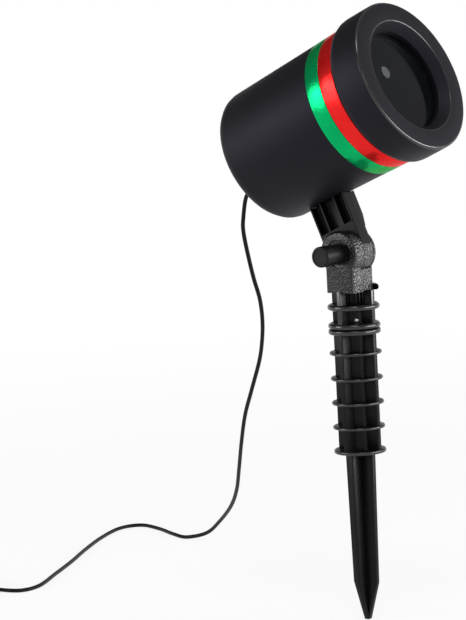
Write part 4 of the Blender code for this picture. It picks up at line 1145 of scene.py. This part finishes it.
# The front bezel: a heavy moulded ring with a conical recess, plugged into the shell on a spigot
# that an O-ring seals. Its front edge is crisp and its rear edge widely rounded.
bezel_face = 0.0905
bezel_radius = 0.0490
recess_mouth = 0.0366
recess_throat = 0.0318
throat_at = 0.0843
spigot_end = 0.0580
spigot = outside_radius(spigot_end) - wall - 0.0005
seal_groove = (0.0614, 0.0642)
seal_depth = 0.0019
mask_seat = 0.0772
mask_pocket = 0.0394
window_pocket = 0.0335
window_rear = 0.0790
window_front = window_rear + 0.0022
window_seat = window_front + gap
outer_edge = 0.0013
inner_edge = 0.0005
edge_depth = 0.0016
bezel_profile = [
    (recess_mouth, bezel_face, 0.0005),
    (bezel_radius, bezel_face, 0.0014),
    (bezel_radius, shell_front + gap, 0.0050),
    (front_radius - 0.0002, shell_front + gap, 0),
    (spigot, shell_front + gap, 0),
    (spigot, seal_groove[1], 0),
    (spigot - seal_depth, seal_groove[1], 0),
    (spigot - seal_depth, seal_groove[0], 0),
    (spigot, seal_groove[0], 0),
    (spigot, spigot_end, 0),
    (mask_pocket, spigot_end, 0),
    (mask_pocket, mask_seat, 0),
    (window_pocket, mask_seat, 0),
    (window_pocket, window_seat, 0),
    (recess_throat, window_seat, 0),
    (recess_throat, throat_at, 0.0003),
]
bezel = add_turned("bezel_ring", bezel_profile, 160, matte_mould, "front_bezel")


def on_front_edge(face):
    """Whether a face of the bezel is on its outer front edge or on the edge of the recess."""
    local = beam_place().inverted() @ face.center
    out = local.xy.length
    near_edge = out > bezel_radius - outer_edge or abs(out - recess_mouth) < inner_edge
    return local.z > bezel_face - edge_depth and near_edge


# The outer front edge and the recess edge take the lighter, glossier plastic as a painted highlight.
refinish(bezel, painted_highlight_edge, on_front_edge)


# The window is a polished disc of smoke-tinted acrylic in front of a black mask. The grating's
# round film shows through it as a small grey dot above the middle.
aperture_above = 0.0095
aperture_radius = 0.0043
film_radius = 0.0040
mask_rear = 0.0728
mask_front = 0.0745
mask_radius = 0.0390
rim_front = 0.0771
rim_radii = (0.0300, 0.0325)
smoked_acrylic, tree, shader, spot = new_finish("smoked_acrylic", "0A0D12", specular=0.35)
shader.inputs["IOR"].default_value = 1.49
shader.inputs["Alpha"].default_value = 0.45
vary_gloss(tree, shader, spot, width=0.015, detail=3.0, patches=(0.0, 1.0), roughness=(0.03, 0.1))
window_corners = disc_corners(window_pocket - gap, window_rear, window_front, 0.0003)
add_turned("window_disc", window_corners, 128, smoked_acrylic, "front_window")

mask_profile = [
    (0, mask_rear, 0),
    (mask_radius, mask_rear, 0.0003),
    (mask_radius, mask_front, 0.0003),
    (rim_radii[1], mask_front, 0),
    (rim_radii[1], rim_front, 0.0002),
    (rim_radii[0], rim_front, 0.0002),
    (rim_radii[0], mask_front, 0),
    (0, mask_front, 0),
]
mask = lathe(mask_profile, 96, beam_place())
aperture = lathe(disc_corners(aperture_radius, 0.07, 0.08), 48, beam_place(aperture_above))
mask = carved(mask, aperture)
add_piece("mask_plate", mask, matte_mould, "head", ["aperture_mask"])

# Embossed grating film: a milky silver disc. Its real rulings are too fine to see, and ones
# 1.2 mm apart stand for them.
ruled_film, tree, shader, spot = new_finish("ruled_grating_film", "F0F5F7", roughness=0.4)
rulings = add_node(
    tree,
    "ShaderNodeTexWave",
    {"Scale": 1 / 0.0012, "bands_direction": "X"},
    {"Vector": spot},
)
ruled = add_node(
    tree,
    "ShaderNodeBump",
    {"Strength": 0.2, "Distance": 0.00005},
    {"Height": rulings.outputs["Fac"]},
)
tree.links.new(ruled.outputs["Normal"], shader.inputs["Normal"])
film_corners = disc_corners(film_radius, mask_rear, mask_rear + 0.0012, 0.0001)
add_turned(
    "grating_disc", film_corners, 48, ruled_film, "diffraction_grating", aperture_above
)


# The fittings behind: a rubber gland that grips the cord, a collar with the sprung red power
# button, and the small lens of the dusk sensor.
gland_tip = rear_face - gland_length
outside = rear_face - gap
inside = rear_face + wall
gland_profile = [(0, gland_tip, 0), (0.0020, gland_tip, 0.0004)]
for step in range(4):
    start = gland_tip + 0.0010 + 0.0016 * step
    width = 0.0025 + 0.0004 * step
    gland_profile += [
        (width, start, 0.0002),
        (width - 0.0005, start + 0.0002, 0.0001),
        (width - 0.0005, start + 0.0007, 0.0001),
        (width + 0.0002, start + 0.0009, 0.0002),
    ]
gland_profile += [
    (0.0038, outside - 0.0020, 0.0002),
    (0.0050, outside - 0.0016, 0.0005),
    (0.0050, outside, 0.0002),
    (0.0032, outside, 0),
    (0.0032, inside + gap, 0),
    (0.0042, inside + gap, 0.0002),
    (0.0042, inside + 0.0033, 0.0003),
    (0, inside + 0.0033, 0),
]
add_turned("gland_sleeve", gland_profile, 48, pvc_jacket, "cord_gland", -gland_below_axis)

collar_front = inside + 0.0025
collar_corners = [
    (0.0053, outside - 0.0016, 0.0003),
    (0.0088, outside - 0.0016, 0.0007),
    (0.0088, outside, 0.0001),
    (0.0070, outside, 0),
    (0.0070, collar_front, 0.0002),
    (0.0053, collar_front, 0),
]
add_turned("button_bezel", collar_corners, 64, matte_mould, "button_collar", button_above)

# Satin moulded red plastic with the soft unevenness of a small thick moulding.
red_button, tree, shader, spot = new_finish("satin_moulded_red", "8E1B1B", roughness=0.38)
raise_grain(tree, shader, spot, width=0.0015, detail=2.0, strength=0.15, depth=0.0001)

button_rear = outside - 0.0040
stem_end = inside + 0.0080
button_profile = [
    (0, button_rear + 0.0003, 0),
    (0.0032, button_rear, 0.0008),
    (0.0050, button_rear + 0.0001, 0.0013),
    (0.0050, collar_front - 0.0015, 0.0002),
    (0.0018, collar_front - 0.0015, 0),
    (0.0018, stem_end, 0.0003),
    (0, stem_end, 0),
]
add_piece(
    "button_cap",
    lathe(button_profile, 64, beam_place(button_above)),
    red_button,
    "power_button",
    ["power_button"],
)

lens_front = inside + 0.0010
lens_profile = [
    (0, outside - 0.0014, 0),
    (0.0022, outside - 0.0012, 0.0008),
    (0.0038, outside - 0.0004, 0.0004),
    (0.0042, outside, 0.0001),
    (0.0030, outside, 0),
    (0.0030, lens_front, 0),
    (0, lens_front, 0),
]
add_turned("sensor_dome", lens_profile, 48, smoked_acrylic, "sensor_lens", sensor_above)


# Inside the sealed head are a driver board, two laser modules, a mirror on a cast bench, seals and
# wires. They keep their solids, and each gets the finish of what it is made of.
standoffs = tuple(f"board_standoff_{number}" for number in range(1, 5))
inner_finishes = [
    (
        matte_mould,
        (
            "mask_retainer",
            "grating_holder",
            "mirror_mount",
            "driver_inductor",
            "driver_chip",
            "button_switch",
            "light_sensor",
        ),
    ),
    (zinc_plate, ("arm_screw_1", "arm_screw_2", "bench_screw_1", "bench_screw_2", "bench_screw_3")),
    (pvc_jacket, ("supply_wires", "green_laser_wires")),
    (red_button, ("red_laser_wires", "switch_wires")),
]
for name, colour, metallic, roughness, grain, nodes in (
    ("turned_brass", "B58E3C", 1.0, 0.28, 0.0006, ("green_laser_module", "red_laser_module")),
    ("cast_aluminium", "A8ABAE", 1.0, 0.45, 0.0009, ("optical_bench", "driver_capacitor")),
    ("solder_mask", "1F5A35", 0.0, 0.35, 0.0015, ("driver_board",)),
    ("natural_nylon", "D8D6CC", 0.0, 0.5, 0.0010, (*standoffs, "cord_terminal")),
    ("black_silicone", "151516", 0.0, 0.6, 0.0008, ("bezel_seal", "window_gasket")),
    ("silvered_glass", "D6DEDA", 1.0, 0.04, 0.0100, ("combining_mirror",)),
):
    finish, tree, shader, spot = new_finish(name, colour, roughness=roughness, metallic=metallic)
    raise_grain(tree, shader, spot, width=grain, detail=3.0, strength=0.2, depth=grain / 10)
    inner_finishes.append((finish, nodes))
for finish, nodes in inner_finishes:
    for node in nodes:
        frame["nodes"][node].material_slots[0].material = finish
